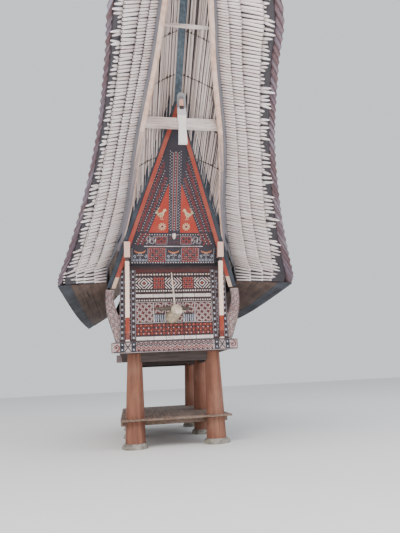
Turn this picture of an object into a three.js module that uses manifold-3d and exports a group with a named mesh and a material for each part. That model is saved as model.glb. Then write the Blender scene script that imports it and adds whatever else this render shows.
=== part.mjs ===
// Rice barn house of the tongkonan kind: a carved store on six round pillars under a long saddle roof.
// Millimetres, +Z up. The front faces -Y, and the origin is on the ground under the middle of the ridge.

import * as THREE from 'three';
import { mergeVertices } from 'three/addons/utils/BufferGeometryUtils.js';
import Module from 'manifold-3d';

const wasm = await Module();
wasm.setup();

// Clearance left between pieces that touch on slanted or cut faces
const SEAT = 0.3;

// Pillars and their stones
const PILLAR_HALF_SPACING = 930;
const PILLAR_ROW_SPACING = 2030;
const PILLAR_FOOT_RADIUS = 232;
const PILLAR_TOP_RADIUS = 172;
const PILLAR_TOP = 2090;
const PILLAR_SIDES = 24;
const STONE = {
  radius: 330, shoulderRadius: 320, shoulderHeight: 72, topRadius: 277, height: 120, sides: 12,
};

// Sitting platform between the pillars
const PLATFORM_TOP = 640;
const PLATFORM_DECK = 40;
const PLATFORM_BEAM = { width: 110, height: 140 };
const PLATFORM_OVERHANG = 330;

// Beams between the pillar tops: across between each pair, and along in slots cut into the tops
const HEAD_BEAM = { width: 200, height: 200 };
const FLOOR_BEAM = { width: 120, height: 200 };
const FLOOR_BASE = PILLAR_TOP;
const FLOOR_THICKNESS = 50;

// Store walls
const WALL_THICKNESS = 60;
const WALL_HALF_WIDTH = 1260;
const WALL_FRONT = 2460;
const WALL_TOP = 4110;
const SIDE_WALL_MIDDLE_TOP = 4300;
const SIDE_WALL_END_TOP = 4800;
const RELIEF = 22;
const STILES = [{ x: 350, width: 280 }, { x: 955, width: 110 }, { x: 1210, width: 100 }];
const RAILS = [[2330, 2453], [3344, 3444], [3480, 3530], [3840, 3940]];
const SILL = { halfLength: 1460, bottom: FLOOR_BASE, top: 2330, thickness: 100 };

// Curved corner boards outside the wall, seen from the front
const CORNER_BOARD = {
  thickness: 50,
  footWidth: 85,
  outer: [[1400, 2480], [1530, 2870], [1590, 3220], [1590, 3555]],
  inner: [[1380, 3555], [1400, 3300], [1320, 3020], [WALL_HALF_WIDTH, 2940]],
  curveSteps: 3,
};

// Leaning gable: its plane goes forward GABLE_LEAN for each unit of height
const GABLE_LEAN = 0.6;
const GABLE_FOOT = { y: 2580, z: 4130 };
const GABLE_THICKNESS = 50;
const GABLE_HALF_WIDTH = 1020;
const GABLE_SHOULDER = 520;
const TIE_BEAM = { halfLength: 1150, back: 2400, front: 2620, height: 270 };

// Rake boards on the gable, along a line from RAKE_APEX on the middle with RAKE_SLOPE
const RAKE_APEX = 3524;
const RAKE_SLOPE = 2.892;
const RAKE_FOOT = -560;
const RED_RAKE = { width: 90, thickness: 90 };
const DARK_RAKE = { width: 105, thickness: 50 };

// Struts in front of the gable's corners, waisted where the tie beam passes behind them
const STRUT = {
  x: 1090, footY: 2510, topY: 2945, top: 4560, width: 95,
  waistWidth: 75, waistLow: 4130, headWidth: 135, headLow: 4210,
};

// Roof: straight slopes between a ridge curve and a nearly level eave curve
const UNDER = {
  ridge: 5100, ridgeRise: 0.79, ridgeBow: 2000, eave: 3240, eaveRise: 0.085, eaveBow: 2500, halfWidth: 2250,
};
const TOP = {
  ridge: 5850, ridgeRise: 0.84, ridgeBow: 2000, eave: 3304, eaveRise: 0.0524, eaveBow: 2500, halfWidth: 2480,
};
const ROOF_LAYERS = { count: 5, thickest: 380, share: 0.95 };
const RING_STEPS = 16;
const ROW_STEPS = 20;

// Near the eaves the underside drops from the slope to a nearly level soffit, over these half widths
const SOFFIT = { from: 1545, to: 1560, rise: 390, leastLayers: 0.15, fullLayersFrom: 0.25 };

// Plan of the verges, as half width and distance from the middle, from the eave corner to the tip
const INNER_VERGE = [
  [1560, 2420], [1545, 2330], [1392, 2519], [1080, 3555], [863, 4896],
  [578, 5889], [450, 6551], [265, 7117], [0, 7350],
];
const OUTER_VERGE = [
  [2480, 3760], [2430, 4000], [2300, 4230], [1959, 4885], [1615, 5804],
  [1420, 6813], [1321, 7473], [968, 7873], [0, 7900],
];
const TIP_NARROWS_FROM = 578;
const VERGE_BOARD = { width: 55, depth: 90, start: 0.27, steps: 12 };
const RIDGE_BEAM = { width: 150, depth: 170, halfLength: 6900 };

// Pieces across the front overhang
const CROSSBEAM = { halfLength: 860, y: 4950, depth: 100, bottom: 6290, height: 200 };
const HANGER = { width: 170, depth: 90, bottom: 5900, top: 7010 };
const TIE_BAR = { halfLength: 620, y: 6080, depth: 60, bottom: 7660, height: 75 };

// Carved buffalo head: x, y, z and radius at stations along its neck, its face and its horns
const NECK = [
  [-90, -2440, 2840, 105], [-90, -2500, 2840, 112], [-75, -2640, 2860, 165],
  [-35, -2780, 2920, 150], [0, -2860, 2990, 110],
];
const FACE = [
  [0, -2760, 3020, 60], [0, -2830, 3010, 120], [5, -2930, 2990, 128],
  [30, -3040, 2930, 95], [45, -3110, 2900, 60],
];
const HORNS = [
  [-515, -2900, 3050, 8], [-320, -2890, 3040, 24], [-110, -2880, 3030, 36],
  [100, -2880, 3030, 36], [230, -2890, 3030, 24], [349, -2900, 3030, 8],
];
const HEAD_SIDES = { body: 12, horn: 8 };

// Pole that stands on the head and leans on the wall, and the small skull above
const POLE = { foot: [-25, -2840, 3060], head: [-60, 3900], radius: 18, sides: 8 };
const SKULL = { height: 150, width: 110, depth: 60, v: 690, slices: 10, stacks: 8 };

// How far cutting tools reach past the piece that they cut
const PAST = 1500;

// A limb that runs steeper than this has its section turned from the X axis
const NEARLY_UPRIGHT = 0.1;

const finishes = {
  pillar: { color: 0x9a6248, roughness: 0.75, metalness: 0 },
  stone: { color: 0x8b857c, roughness: 0.95, metalness: 0 },
  darkTimber: { color: 0x4a3a33, roughness: 0.85, metalness: 0 },
  carved: { color: 0x54302c, roughness: 0.8, metalness: 0 },
  paleCarved: { color: 0xb59a98, roughness: 0.85, metalness: 0 },
  strut: { color: 0xdba48c, roughness: 0.8, metalness: 0 },
  redPaint: { color: 0xb45041, roughness: 0.75, metalness: 0 },
  darkPaint: { color: 0x3f4a55, roughness: 0.8, metalness: 0 },
  weathered: { color: 0xc8b8b0, roughness: 0.9, metalness: 0 },
  tan: { color: 0xc4937a, roughness: 0.8, metalness: 0 },
  bamboo: { color: 0xb9a79c, roughness: 0.85, metalness: 0 },
  head: { color: 0xb5a57f, roughness: 0.8, metalness: 0 },
  bone: { color: 0xeee0d5, roughness: 0.8, metalness: 0 },
};

// A closed geometry as a solid that can be cut and joined
function solidOf(geometry) {
  const bare = geometry.clone();
  bare.deleteAttribute('normal');
  bare.deleteAttribute('uv');
  const merged = mergeVertices(bare, 1e-3);
  return new wasm.Manifold(new wasm.Mesh({
    numProp: 3,
    vertProperties: new Float32Array(merged.attributes.position.array),
    triVerts: new Uint32Array(merged.index.array),
  }));
}

function geometryOf(solid) {
  const mesh = solid.getMesh();
  const geometry = new THREE.BufferGeometry();
  geometry.setAttribute('position', new THREE.BufferAttribute(mesh.vertProperties, 3));
  geometry.setIndex(new THREE.BufferAttribute(mesh.triVerts, 1));
  return geometry;
}

function join(...geometries) {
  return geometryOf(geometries.map(solidOf).reduce((sum, next) => sum.add(next)));
}

// Takes the tools away and keeps the main body, without offcuts
function cut(geometry, ...tools) {
  const rest = tools.map(solidOf).reduce((left, tool) => left.subtract(tool), solidOf(geometry));
  const bodies = rest.decompose().sort((a, b) => b.volume() - a.volume());
  return geometryOf(bodies[0]);
}

function block(x0, x1, y0, y1, z0, z1) {
  const geometry = new THREE.BoxGeometry(x1 - x0, y1 - y0, z1 - z0);
  return geometry.translate((x0 + x1) / 2, (y0 + y1) / 2, (z0 + z1) / 2);
}

// A flat outline in Y and Z, made solid between two X places
function plateAlong(outline, x0, x1) {
  const shape = new THREE.Shape(outline.map(([y, z]) => new THREE.Vector2(y, z)));
  const geometry = new THREE.ExtrudeGeometry(shape, { depth: x1 - x0, bevelEnabled: false });
  return geometry.rotateX(Math.PI / 2).rotateZ(Math.PI / 2).translate(x0, 0, 0);
}

// Rings of equal length joined into a closed body, each face split along its shorter diagonal
function loft(rings, closeEnd) {
  const count = rings[0].length;
  const points = rings.flat();
  const distance = (i, j) => Math.hypot(...points[i].map((value, axis) => value - points[j][axis]));
  const faces = [];
  for (let ring = 0; ring + 1 < rings.length; ring += 1) {
    for (let side = 0; side < count; side += 1) {
      const next = (side + 1) % count;
      const a = ring * count + side;
      const b = ring * count + next;
      if (distance(a, b + count) < distance(b, a + count)) {
        faces.push(a, b, b + count, a, b + count, a + count);
      } else {
        faces.push(a, b, a + count, b, b + count, a + count);
      }
    }
  }
  const last = (rings.length - 1) * count;
  closeEnd(count).forEach(([i, j, k]) => faces.push(k, j, i, last + i, last + j, last + k));
  const geometry = new THREE.BufferGeometry();
  geometry.setAttribute('position', new THREE.Float32BufferAttribute(points.flat(), 3));
  geometry.setIndex(faces);
  return geometry;
}

// Closes a convex ring end as a fan
function fan(count) {
  const faces = [];
  for (let i = 1; i + 1 < count; i += 1) {
    faces.push([0, i, i + 1]);
  }
  return faces;
}

// A round limb through stations of x, y, z and radius
function limb(stations, sides) {
  const curve = new THREE.CatmullRomCurve3(stations.map(([x, y, z]) => new THREE.Vector3(x, y, z)));
  const steps = stations.length - 1;
  const rings = stations.map(([, , , radius], i) => {
    const centre = curve.getPoint(i / steps);
    const forward = curve.getTangent(i / steps);
    const across = new THREE.Vector3(0, 0, 1).cross(forward);
    if (across.length() < NEARLY_UPRIGHT) {
      across.set(1, 0, 0);
    }
    across.normalize();
    const up = forward.clone().cross(across);
    return Array.from({ length: sides }, (_, k) => {
      const angle = (2 * Math.PI * k) / sides;
      return centre.clone()
        .addScaledVector(across, radius * Math.cos(angle))
        .addScaledVector(up, radius * Math.sin(angle))
        .toArray();
    });
  });
  return loft(rings, fan);
}

// Saddle curve: flat in the middle, straight towards the ends
function bow(distance, radius) {
  return Math.hypot(distance, radius) - radius;
}

function surfaceHeight(surface, x, y) {
  const ridge = surface.ridge + surface.ridgeRise * bow(y, surface.ridgeBow);
  const eave = surface.eave + surface.eaveRise * bow(y, surface.eaveBow);
  return ridge + ((eave - ridge) * x) / surface.halfWidth;
}

function topside(x, y) {
  return surfaceHeight(TOP, x, y);
}

// Underside: the slope, then the drop to the inner edge of the soffit
function underside(x, y) {
  const sloping = surfaceHeight(UNDER, Math.min(x, SOFFIT.from), y);
  const soffit = surfaceHeight(UNDER, UNDER.halfWidth, y) + SOFFIT.rise;
  const share = THREE.MathUtils.clamp((x - SOFFIT.from) / (SOFFIT.to - SOFFIT.from), 0, 1);
  return THREE.MathUtils.lerp(sloping, soffit, share);
}

function surfaceNormal(surface, x, y) {
  const step = 1;
  const dx = surfaceHeight(surface, x + step, y) - surfaceHeight(surface, x, y);
  const dy = surfaceHeight(surface, x, y + step) - surfaceHeight(surface, x, y);
  return new THREE.Vector3(-dx, -dy, step).normalize();
}

function planCurve(points) {
  return new THREE.CatmullRomCurve3(points.map(([x, s]) => new THREE.Vector3(x, s, 0)));
}

const innerPlan = planCurve(INNER_VERGE);
const outerPlan = planCurve(OUTER_VERGE);

// Point of a verge in space, for the back end (positive y)
function vergePoint(plan, height, t) {
  const { x, y } = plan.getPoint(t);
  const half = Math.max(x, SEAT / 2);
  return new THREE.Vector3(half, y, height(half, y));
}

// Stepped end of the roof at one place of the verge: riser and tread for each layer
function vergeSteps(t) {
  const low = vergePoint(innerPlan, underside, t);
  const high = vergePoint(outerPlan, topside, t);
  const riser = surfaceNormal(UNDER, low.x, low.y);
  const between = topside(low.x, low.y) - surfaceHeight(UNDER, low.x, low.y);
  const thickness = Math.min(ROOF_LAYERS.thickest, between * riser.z * ROOF_LAYERS.share);
  riser.multiplyScalar(thickness * THREE.MathUtils.clamp(t / SOFFIT.fullLayersFrom, SOFFIT.leastLayers, 1));
  riser.x *= Math.min(1, low.x / TIP_NARROWS_FROM);
  const tread = high.clone().sub(low).sub(riser);
  const points = [low];
  for (let layer = 0; layer < ROOF_LAYERS.count; layer += 1) {
    const raised = low.clone().addScaledVector(riser, (layer + 1) / ROOF_LAYERS.count);
    points.push(raised.clone().addScaledVector(tread, layer / ROOF_LAYERS.count));
    points.push(raised.addScaledVector(tread, (layer + 1) / ROOF_LAYERS.count));
  }
  return points.map((p) => new THREE.Vector3(Math.max(p.x, SEAT / 2), p.y, p.z));
}

// One straight row of a roof surface between the two ends, without the end points
function roofRow(height, x, reach, direction) {
  return Array.from({ length: ROW_STEPS - 1 }, (_, i) => {
    const y = direction * reach * ((2 * (i + 1)) / ROW_STEPS - 1);
    return [x, y, height(x, y)];
  });
}

// Closes the strip between the two rows of a roof ring, with a tooth for each layer at both ends
function closeStrip(count) {
  const order = Array.from({ length: count }, (_, i) => i);
  const endPoints = 2 * ROOF_LAYERS.count;
  const low = ROW_STEPS - 1;
  const high = low + endPoints;
  const lower = [order[count - 1], ...order.slice(0, ROW_STEPS)];
  const upper = order.slice(high, high + ROW_STEPS + 1).reverse();
  const faces = [];
  for (let i = 1; i + 1 < ROW_STEPS; i += 1) {
    faces.push([lower[i], lower[i + 1], upper[i + 1]], [lower[i], upper[i + 1], upper[i]]);
  }
  const last = ROW_STEPS - 1;
  faces.push([lower[last], high, upper[last]], [lower[1], upper[1], upper[0]]);
  [[lower[last], low], [lower[1], upper[0]]].forEach(([hub, first]) => {
    for (let i = first; i < first + endPoints; i += 2) {
      faces.push([hub, i, i + 2], [i, i + 1, i + 2]);
    }
  });
  return faces;
}

function roofSlope() {
  const rings = Array.from({ length: RING_STEPS + 1 }, (_, i) => {
    const steps = vergeSteps(i / RING_STEPS);
    const low = steps[0];
    const high = steps[steps.length - 1];
    const back = steps.map((p) => p.toArray());
    const front = steps.map((p) => [p.x, -p.y, p.z]).reverse();
    const lower = roofRow(underside, low.x, low.y, 1);
    const upper = roofRow(topside, high.x, high.y, -1);
    return [...lower, ...back, ...upper, ...front];
  });
  return loft(rings.reverse(), closeStrip);
}

const slope = roofSlope();

// The slopes lowered by the seat clearance, to cut what stands under them
const mirroredSlope = geometryOf(solidOf(slope).mirror([1, 0, 0]));
const roofCutters = [slope, mirroredSlope].map((half) => half.clone().translate(0, 0, -SEAT));

// Place of a piece drawn on the leaning gable: across, up along the plane, and out of it
const leanAngle = Math.atan(GABLE_LEAN);
const gableFrame = new THREE.Matrix4().makeBasis(
  new THREE.Vector3(1, 0, 0),
  new THREE.Vector3(0, -Math.sin(leanAngle), Math.cos(leanAngle)),
  new THREE.Vector3(0, -Math.cos(leanAngle), -Math.sin(leanAngle)),
).setPosition(0, -GABLE_FOOT.y, GABLE_FOOT.z);

function onGable(outline, from, to) {
  const shape = new THREE.Shape(outline.map(([u, v]) => new THREE.Vector2(u, v)));
  const geometry = new THREE.ExtrudeGeometry(shape, { depth: to - from, bevelEnabled: false });
  return geometry.translate(0, 0, from).applyMatrix4(gableFrame);
}

// Log under the ridge, following the saddle curve
function ridgeBeam(extra) {
  const half = RIDGE_BEAM.width / 2 + extra;
  const rings = Array.from({ length: ROW_STEPS + 1 }, (_, i) => {
    const y = RIDGE_BEAM.halfLength * ((2 * i) / ROW_STEPS - 1);
    const top = surfaceHeight(UNDER, 0, y) - SEAT;
    const bottom = top - RIDGE_BEAM.depth - extra;
    return [[-half, y, bottom], [-half, y, top], [half, y, top], [half, y, bottom]];
  });
  return loft(rings, fan);
}

// Narrow board that hangs under the inner verges and meets at the tip
function vergeBoard(extra) {
  const side = Array.from({ length: VERGE_BOARD.steps + 1 }, (_, i) => {
    const t = VERGE_BOARD.start + ((1 - VERGE_BOARD.start) * i) / VERGE_BOARD.steps;
    const point = vergePoint(innerPlan, underside, t);
    return { point, normal: surfaceNormal(UNDER, point.x, point.y) };
  });
  const tip = side[VERGE_BOARD.steps];
  tip.point.x = 0;
  tip.normal.setX(0).normalize();
  const mirrored = side.slice(0, -1).reverse().map(({ point, normal }) => ({
    point: new THREE.Vector3(-point.x, point.y, point.z),
    normal: new THREE.Vector3(-normal.x, normal.y, normal.z),
  }));
  const path = [...side, ...mirrored];
  const halfWidth = VERGE_BOARD.width / 2;
  const halfDepth = VERGE_BOARD.depth / 2;
  const rings = path.map(({ point, normal }, i) => {
    const before = path[Math.max(i - 1, 0)].point;
    const after = path[Math.min(i + 1, path.length - 1)].point;
    const inward = normal.clone().cross(after.clone().sub(before)).normalize();
    const below = -halfDepth - SEAT;
    const centre = point.clone().addScaledVector(inward, halfWidth).addScaledVector(normal, below);
    return [[-1, -1], [1, -1], [1, 1], [-1, 1]].map(([a, b]) => centre.clone()
      .addScaledVector(inward, a * (halfWidth + extra))
      .addScaledVector(normal, b * (halfDepth + extra))
      .toArray());
  });
  return loft(rings, fan).rotateZ(Math.PI);
}

const objects = new THREE.Group();

function place(parent, name, geometry, finish) {
  const material = new THREE.MeshStandardMaterial({ ...finishes[finish], name: finish });
  const mesh = new THREE.Mesh(geometry, material);
  mesh.name = name;
  parent.add(mesh);
  return mesh;
}

// Signs of the sides and of the rows, by their names
const SIDES = { left: -1, right: 1 };
const ROWS = { front: -1, middle: 0, back: 1 };

// Round tapered pillar at its place, grown by extra all round
function pillarAt(s, r, extra) {
  const height = PILLAR_TOP - STONE.height;
  const top = PILLAR_TOP_RADIUS + extra;
  const foot = PILLAR_FOOT_RADIUS + extra;
  const pillar = new THREE.CylinderGeometry(top, foot, height, PILLAR_SIDES).rotateX(Math.PI / 2);
  return pillar.translate(s * PILLAR_HALF_SPACING, r * PILLAR_ROW_SPACING, STONE.height + height / 2);
}

// Beam along one side, from the middle of the front pillar to the middle of the back one
function floorBeam(s, extra) {
  const x = s * PILLAR_HALF_SPACING;
  const half = FLOOR_BEAM.width / 2 + extra;
  const reach = PILLAR_ROW_SPACING + extra;
  return block(x - half, x + half, -reach, reach, PILLAR_TOP - FLOOR_BEAM.height - extra, PILLAR_TOP + extra);
}

function buildPillars() {
  const stone = new THREE.LatheGeometry([
    new THREE.Vector2(0, 0),
    new THREE.Vector2(STONE.radius, 0),
    new THREE.Vector2(STONE.shoulderRadius, STONE.shoulderHeight),
    new THREE.Vector2(STONE.topRadius, STONE.height),
    new THREE.Vector2(0, STONE.height),
  ], STONE.sides).rotateX(Math.PI / 2);
  Object.entries(ROWS).forEach(([row, r]) => {
    Object.entries(SIDES).forEach(([side, s]) => {
      const footing = place(objects, `foundation_stone_${row}_${side}`, stone, 'stone');
      footing.position.set(s * PILLAR_HALF_SPACING, r * PILLAR_ROW_SPACING, 0);
      place(objects, `pillar_${row}_${side}`, cut(pillarAt(s, r, 0), floorBeam(s, SEAT)), 'pillar');
    });
  });
}

// Pillar-shaped tools that leave the seat clearance round each pillar
function pillarHoles() {
  return Object.values(SIDES).flatMap((s) => Object.values(ROWS).map((r) => pillarAt(s, r, SEAT)));
}

function buildPlatform() {
  const top = PLATFORM_TOP - PLATFORM_DECK;
  const reachX = PILLAR_HALF_SPACING + PLATFORM_OVERHANG;
  const reachY = PILLAR_ROW_SPACING + PLATFORM_OVERHANG;
  const beside = PILLAR_FOOT_RADIUS + PLATFORM_BEAM.width / 2;
  const places = [-PILLAR_ROW_SPACING + beside, beside, PILLAR_ROW_SPACING - beside];
  const half = PLATFORM_BEAM.width / 2;
  const beamBottom = top - PLATFORM_BEAM.height;
  const beams = places.map((y) => block(-reachX, reachX, y - half, y + half, beamBottom, top));
  const deck = block(-reachX, reachX, -reachY, reachY, top, PLATFORM_TOP);
  place(objects, 'sitting_platform', cut(join(...beams, deck), ...pillarHoles()), 'darkTimber');
}

function buildBeams() {
  Object.entries(ROWS).forEach(([row, r]) => {
    const y = r * PILLAR_ROW_SPACING;
    const half = HEAD_BEAM.width / 2;
    const bottom = PILLAR_TOP - HEAD_BEAM.height;
    const beam = block(-PILLAR_HALF_SPACING, PILLAR_HALF_SPACING, y - half, y + half, bottom, PILLAR_TOP);
    place(objects, `head_beam_${row}`, cut(beam, ...pillarHoles()), 'darkTimber');
  });
  Object.entries(SIDES).forEach(([side, s]) => {
    place(objects, `floor_beam_${side}`, floorBeam(s, 0), 'darkTimber');
  });
}

function buildStore() {
  const inner = WALL_HALF_WIDTH - WALL_THICKNESS;
  const innerEnd = WALL_FRONT - WALL_THICKNESS;
  const floor = block(-inner, inner, -innerEnd, innerEnd, FLOOR_BASE, FLOOR_BASE + FLOOR_THICKNESS);
  place(objects, 'store_floor', floor, 'darkTimber');
  const outline = [
    [-innerEnd, FLOOR_BASE], [innerEnd, FLOOR_BASE], [innerEnd, SIDE_WALL_END_TOP], [0, SIDE_WALL_MIDDLE_TOP],
    [-innerEnd, SIDE_WALL_END_TOP],
  ];
  const right = cut(plateAlong(outline, inner, WALL_HALF_WIDTH), ...roofCutters);
  place(objects, 'side_wall_right', right, 'carved');
  place(objects, 'side_wall_left', right, 'carved').scale.set(-1, 1, 1);
}

// End wall with its stiles and rails standing proud of the boards
function endWall() {
  const boards = block(
    -WALL_HALF_WIDTH, WALL_HALF_WIDTH, -WALL_FRONT, -WALL_FRONT + WALL_THICKNESS, FLOOR_BASE, WALL_TOP,
  );
  const face = -WALL_FRONT - RELIEF;
  const stiles = STILES.flatMap(({ x, width }) => [-x, x].map((middle) => block(
    middle - width / 2, middle + width / 2, face, -WALL_FRONT + RELIEF, SILL.top, WALL_TOP,
  )));
  const rails = RAILS.map(([low, high]) => block(
    -WALL_HALF_WIDTH, WALL_HALF_WIDTH, face, -WALL_FRONT + RELIEF, low, high,
  ));
  return join(boards, ...stiles, ...rails);
}

// Curved board that rises from the sill beside the wall and swings out
function cornerBoard() {
  const flat = (points) => points.map(([x, z]) => new THREE.Vector2(x, z));
  const [innerTop, ...innerCurve] = flat(CORNER_BOARD.inner);
  const shape = new THREE.Shape();
  shape.moveTo(WALL_HALF_WIDTH, SILL.top);
  shape.lineTo(WALL_HALF_WIDTH + CORNER_BOARD.footWidth, SILL.top);
  shape.splineThru(flat(CORNER_BOARD.outer));
  shape.lineTo(innerTop.x, innerTop.y);
  shape.splineThru(innerCurve);
  const geometry = new THREE.ExtrudeGeometry(shape, {
    depth: CORNER_BOARD.thickness, bevelEnabled: false, curveSegments: CORNER_BOARD.curveSteps,
  });
  return geometry.rotateX(Math.PI / 2).translate(0, -WALL_FRONT + CORNER_BOARD.thickness, 0);
}

// Board along the rake line of the gable, between two distances out from the line, on both sides
function rakePair(near, far, thickness) {
  const run = Math.hypot(1, RAKE_SLOPE);
  const outline = [near, far].map((out) => {
    const apex = RAKE_APEX + out * run;
    return [(apex - RAKE_FOOT) / RAKE_SLOPE, apex];
  });
  const [[innerFoot, innerApex], [outerFoot, outerApex]] = outline;
  return onGable([
    [innerFoot, RAKE_FOOT], [outerFoot, RAKE_FOOT], [0, outerApex],
    [-outerFoot, RAKE_FOOT], [-innerFoot, RAKE_FOOT], [0, innerApex],
  ], SEAT, thickness);
}

function gablePanel() {
  const half = RED_RAKE.width / 2 + DARK_RAKE.width;
  const apex = RAKE_APEX + half * Math.hypot(1, RAKE_SLOPE);
  const shoulder = (apex - GABLE_SHOULDER) / RAKE_SLOPE;
  return onGable([
    [-GABLE_HALF_WIDTH, 0], [GABLE_HALF_WIDTH, 0], [GABLE_HALF_WIDTH, GABLE_SHOULDER],
    [shoulder, GABLE_SHOULDER], [0, apex], [-shoulder, GABLE_SHOULDER],
    [-GABLE_HALF_WIDTH, GABLE_SHOULDER],
  ], -GABLE_THICKNESS, 0);
}

function tieBeam() {
  const beamTop = WALL_TOP + TIE_BEAM.height;
  const beam = block(
    -TIE_BEAM.halfLength, TIE_BEAM.halfLength, -TIE_BEAM.front, -TIE_BEAM.back, WALL_TOP, beamTop,
  );
  const reach = 2 * TIE_BEAM.halfLength;
  const panelSpace = onGable(
    [[-reach, -SEAT], [reach, -SEAT], [reach, GABLE_SHOULDER], [-reach, GABLE_SHOULDER]],
    -GABLE_THICKNESS - SEAT, TIE_BEAM.front,
  );
  return cut(beam, panelSpace);
}

// Leaning strut from the sill to the rake boards: a shaft, a waist and a thicker head
function strut() {
  const rise = STRUT.top - SILL.top;
  const tilt = Math.atan2(STRUT.topY - STRUT.footY, rise);
  const spare = STRUT.width;
  const alongAt = (z) => (z - SILL.top) / Math.cos(tilt);
  const length = (width, from, to) => block(-width / 2, width / 2, -width / 2, width / 2, from, to);
  const leaning = join(
    length(STRUT.width, -spare, alongAt(STRUT.waistLow)),
    length(STRUT.waistWidth, alongAt(STRUT.waistLow), alongAt(STRUT.headLow)),
    length(STRUT.headWidth, alongAt(STRUT.headLow), alongAt(STRUT.top) + spare),
  ).rotateX(tilt).translate(STRUT.x, -STRUT.footY, SILL.top);
  const below = block(0, 2 * STRUT.x, -WALL_FRONT - PAST, 0, SILL.bottom - PAST, SILL.top);
  const rakeFront = RED_RAKE.thickness + SEAT;
  const behind = onGable([[0, -PAST], [PAST, -PAST], [PAST, PAST], [0, PAST]], -PAST, rakeFront);
  const wall = block(0, 2 * STRUT.x, -WALL_FRONT - RELIEF - SEAT, 0, SILL.bottom, WALL_TOP);
  const above = block(0, 2 * STRUT.x, -2 * STRUT.topY, 0, STRUT.top, STRUT.top + PAST);
  return cut(leaning, below, wall, behind, above);
}

function buildEnd(end) {
  const group = new THREE.Group();
  group.name = end;
  place(group, `end_wall_${end}`, endWall(), 'carved');
  const sill = block(
    -SILL.halfLength, SILL.halfLength, -WALL_FRONT - SILL.thickness, -WALL_FRONT, SILL.bottom, SILL.top,
  );
  place(group, `sill_board_${end}`, sill, 'paleCarved');
  const corner = cornerBoard();
  const prop = strut();
  Object.entries(SIDES).forEach(([side, s]) => {
    place(group, `corner_board_${end}_${side}`, corner, 'paleCarved').scale.set(s, 1, 1);
    place(group, `gable_strut_${end}_${side}`, prop, 'strut').scale.set(s, 1, 1);
  });
  place(group, `gable_tie_beam_${end}`, tieBeam(), 'darkTimber');
  const roofTools = [ridgeBeam(SEAT), ...roofCutters];
  const overhangTools = [vergeBoard(SEAT), ...roofTools];
  place(group, `gable_panel_${end}`, cut(gablePanel(), ...overhangTools), 'carved');
  const wallSide = WALL_HALF_WIDTH + SEAT;
  const wallTool = block(-wallSide, wallSide, -WALL_FRONT - RELIEF - SEAT, 0, 0, WALL_TOP + SEAT);
  const rakeTools = [wallTool, ...overhangTools];
  const redEdge = RED_RAKE.width / 2;
  const red = rakePair(-redEdge, redEdge, RED_RAKE.thickness);
  place(group, `red_rake_boards_${end}`, cut(red, ...rakeTools), 'redPaint');
  const dark = rakePair(redEdge + SEAT, redEdge + DARK_RAKE.width, DARK_RAKE.thickness);
  place(group, `dark_rake_boards_${end}`, cut(dark, ...rakeTools), 'darkPaint');
  const crossbeam = block(
    -CROSSBEAM.halfLength, CROSSBEAM.halfLength, -CROSSBEAM.y - CROSSBEAM.depth, -CROSSBEAM.y,
    CROSSBEAM.bottom, CROSSBEAM.bottom + CROSSBEAM.height,
  );
  place(group, `overhang_crossbeam_${end}`, cut(crossbeam, ...overhangTools), 'weathered');
  const hangerBack = -CROSSBEAM.y - CROSSBEAM.depth;
  const hanger = block(
    -HANGER.width / 2, HANGER.width / 2, hangerBack - HANGER.depth, hangerBack, HANGER.bottom, HANGER.top,
  );
  place(group, `hanger_post_${end}`, hanger, 'weathered');
  const tieBar = block(
    -TIE_BAR.halfLength, TIE_BAR.halfLength, -TIE_BAR.y - TIE_BAR.depth, -TIE_BAR.y,
    TIE_BAR.bottom, TIE_BAR.bottom + TIE_BAR.height,
  );
  place(group, `overhang_tie_bar_${end}`, cut(tieBar, ...overhangTools), 'weathered');
  place(group, `verge_boards_${end}`, cut(vergeBoard(0), ...roofTools), 'tan');
  group.rotation.z = end === 'back' ? Math.PI : 0;
  return group;
}

function buildRoof() {
  place(objects, 'ridge_beam', cut(ridgeBeam(0), ...roofCutters), 'darkTimber');
  place(objects, 'roof_slope_right', slope, 'bamboo');
  place(objects, 'roof_slope_left', slope, 'bamboo').scale.set(-1, 1, 1);
}

function buildOrnaments() {
  const shape = join(limb(NECK, HEAD_SIDES.body), limb(FACE, HEAD_SIDES.body), limb(HORNS, HEAD_SIDES.horn));
  const insideWall = block(-WALL_HALF_WIDTH, WALL_HALF_WIDTH, -WALL_FRONT - SEAT, 0, 0, WALL_TOP);
  const head = cut(shape, insideWall);
  place(objects, 'buffalo_head', head, 'head');
  const [topX, topZ] = POLE.head;
  const top = [topX, -(WALL_FRONT + RELIEF + POLE.radius + SEAT), topZ];
  const middle = POLE.foot.map((value, axis) => (value + top[axis]) / 2);
  const pole = limb([POLE.foot, middle, top].map((point) => [...point, POLE.radius]), POLE.sides);
  place(objects, 'leaning_pole', cut(pole, head.clone().translate(0, 0, SEAT)), 'weathered');
  const skull = new THREE.SphereGeometry(1, SKULL.slices, SKULL.stacks);
  skull.scale(SKULL.width / 2, SKULL.height / 2, SKULL.depth).translate(0, SKULL.v, 0);
  skull.applyMatrix4(gableFrame);
  const insideGable = onGable([[-PAST, 0], [PAST, 0], [PAST, PAST], [-PAST, PAST]], -PAST, SEAT);
  place(objects, 'gable_skull', cut(skull, insideGable), 'bone');
}

buildPillars();
buildPlatform();
buildBeams();
buildStore();
objects.add(buildEnd('front'));
objects.add(buildEnd('back'));
buildRoof();
buildOrnaments();

export default objects;
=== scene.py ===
"""Rice barn house of the tongkonan kind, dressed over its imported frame.

Metres, +Z up. The front faces -Y, and the origin is on the ground under the middle of the ridge.
"""
from __future__ import annotations

import logging
import math
from dataclasses import dataclass, replace
from enum import Enum
from functools import lru_cache
from typing import Any, Callable, Sequence

import bmesh
import bpy
import numpy as np
from mathutils import Matrix, Vector, noise


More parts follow.
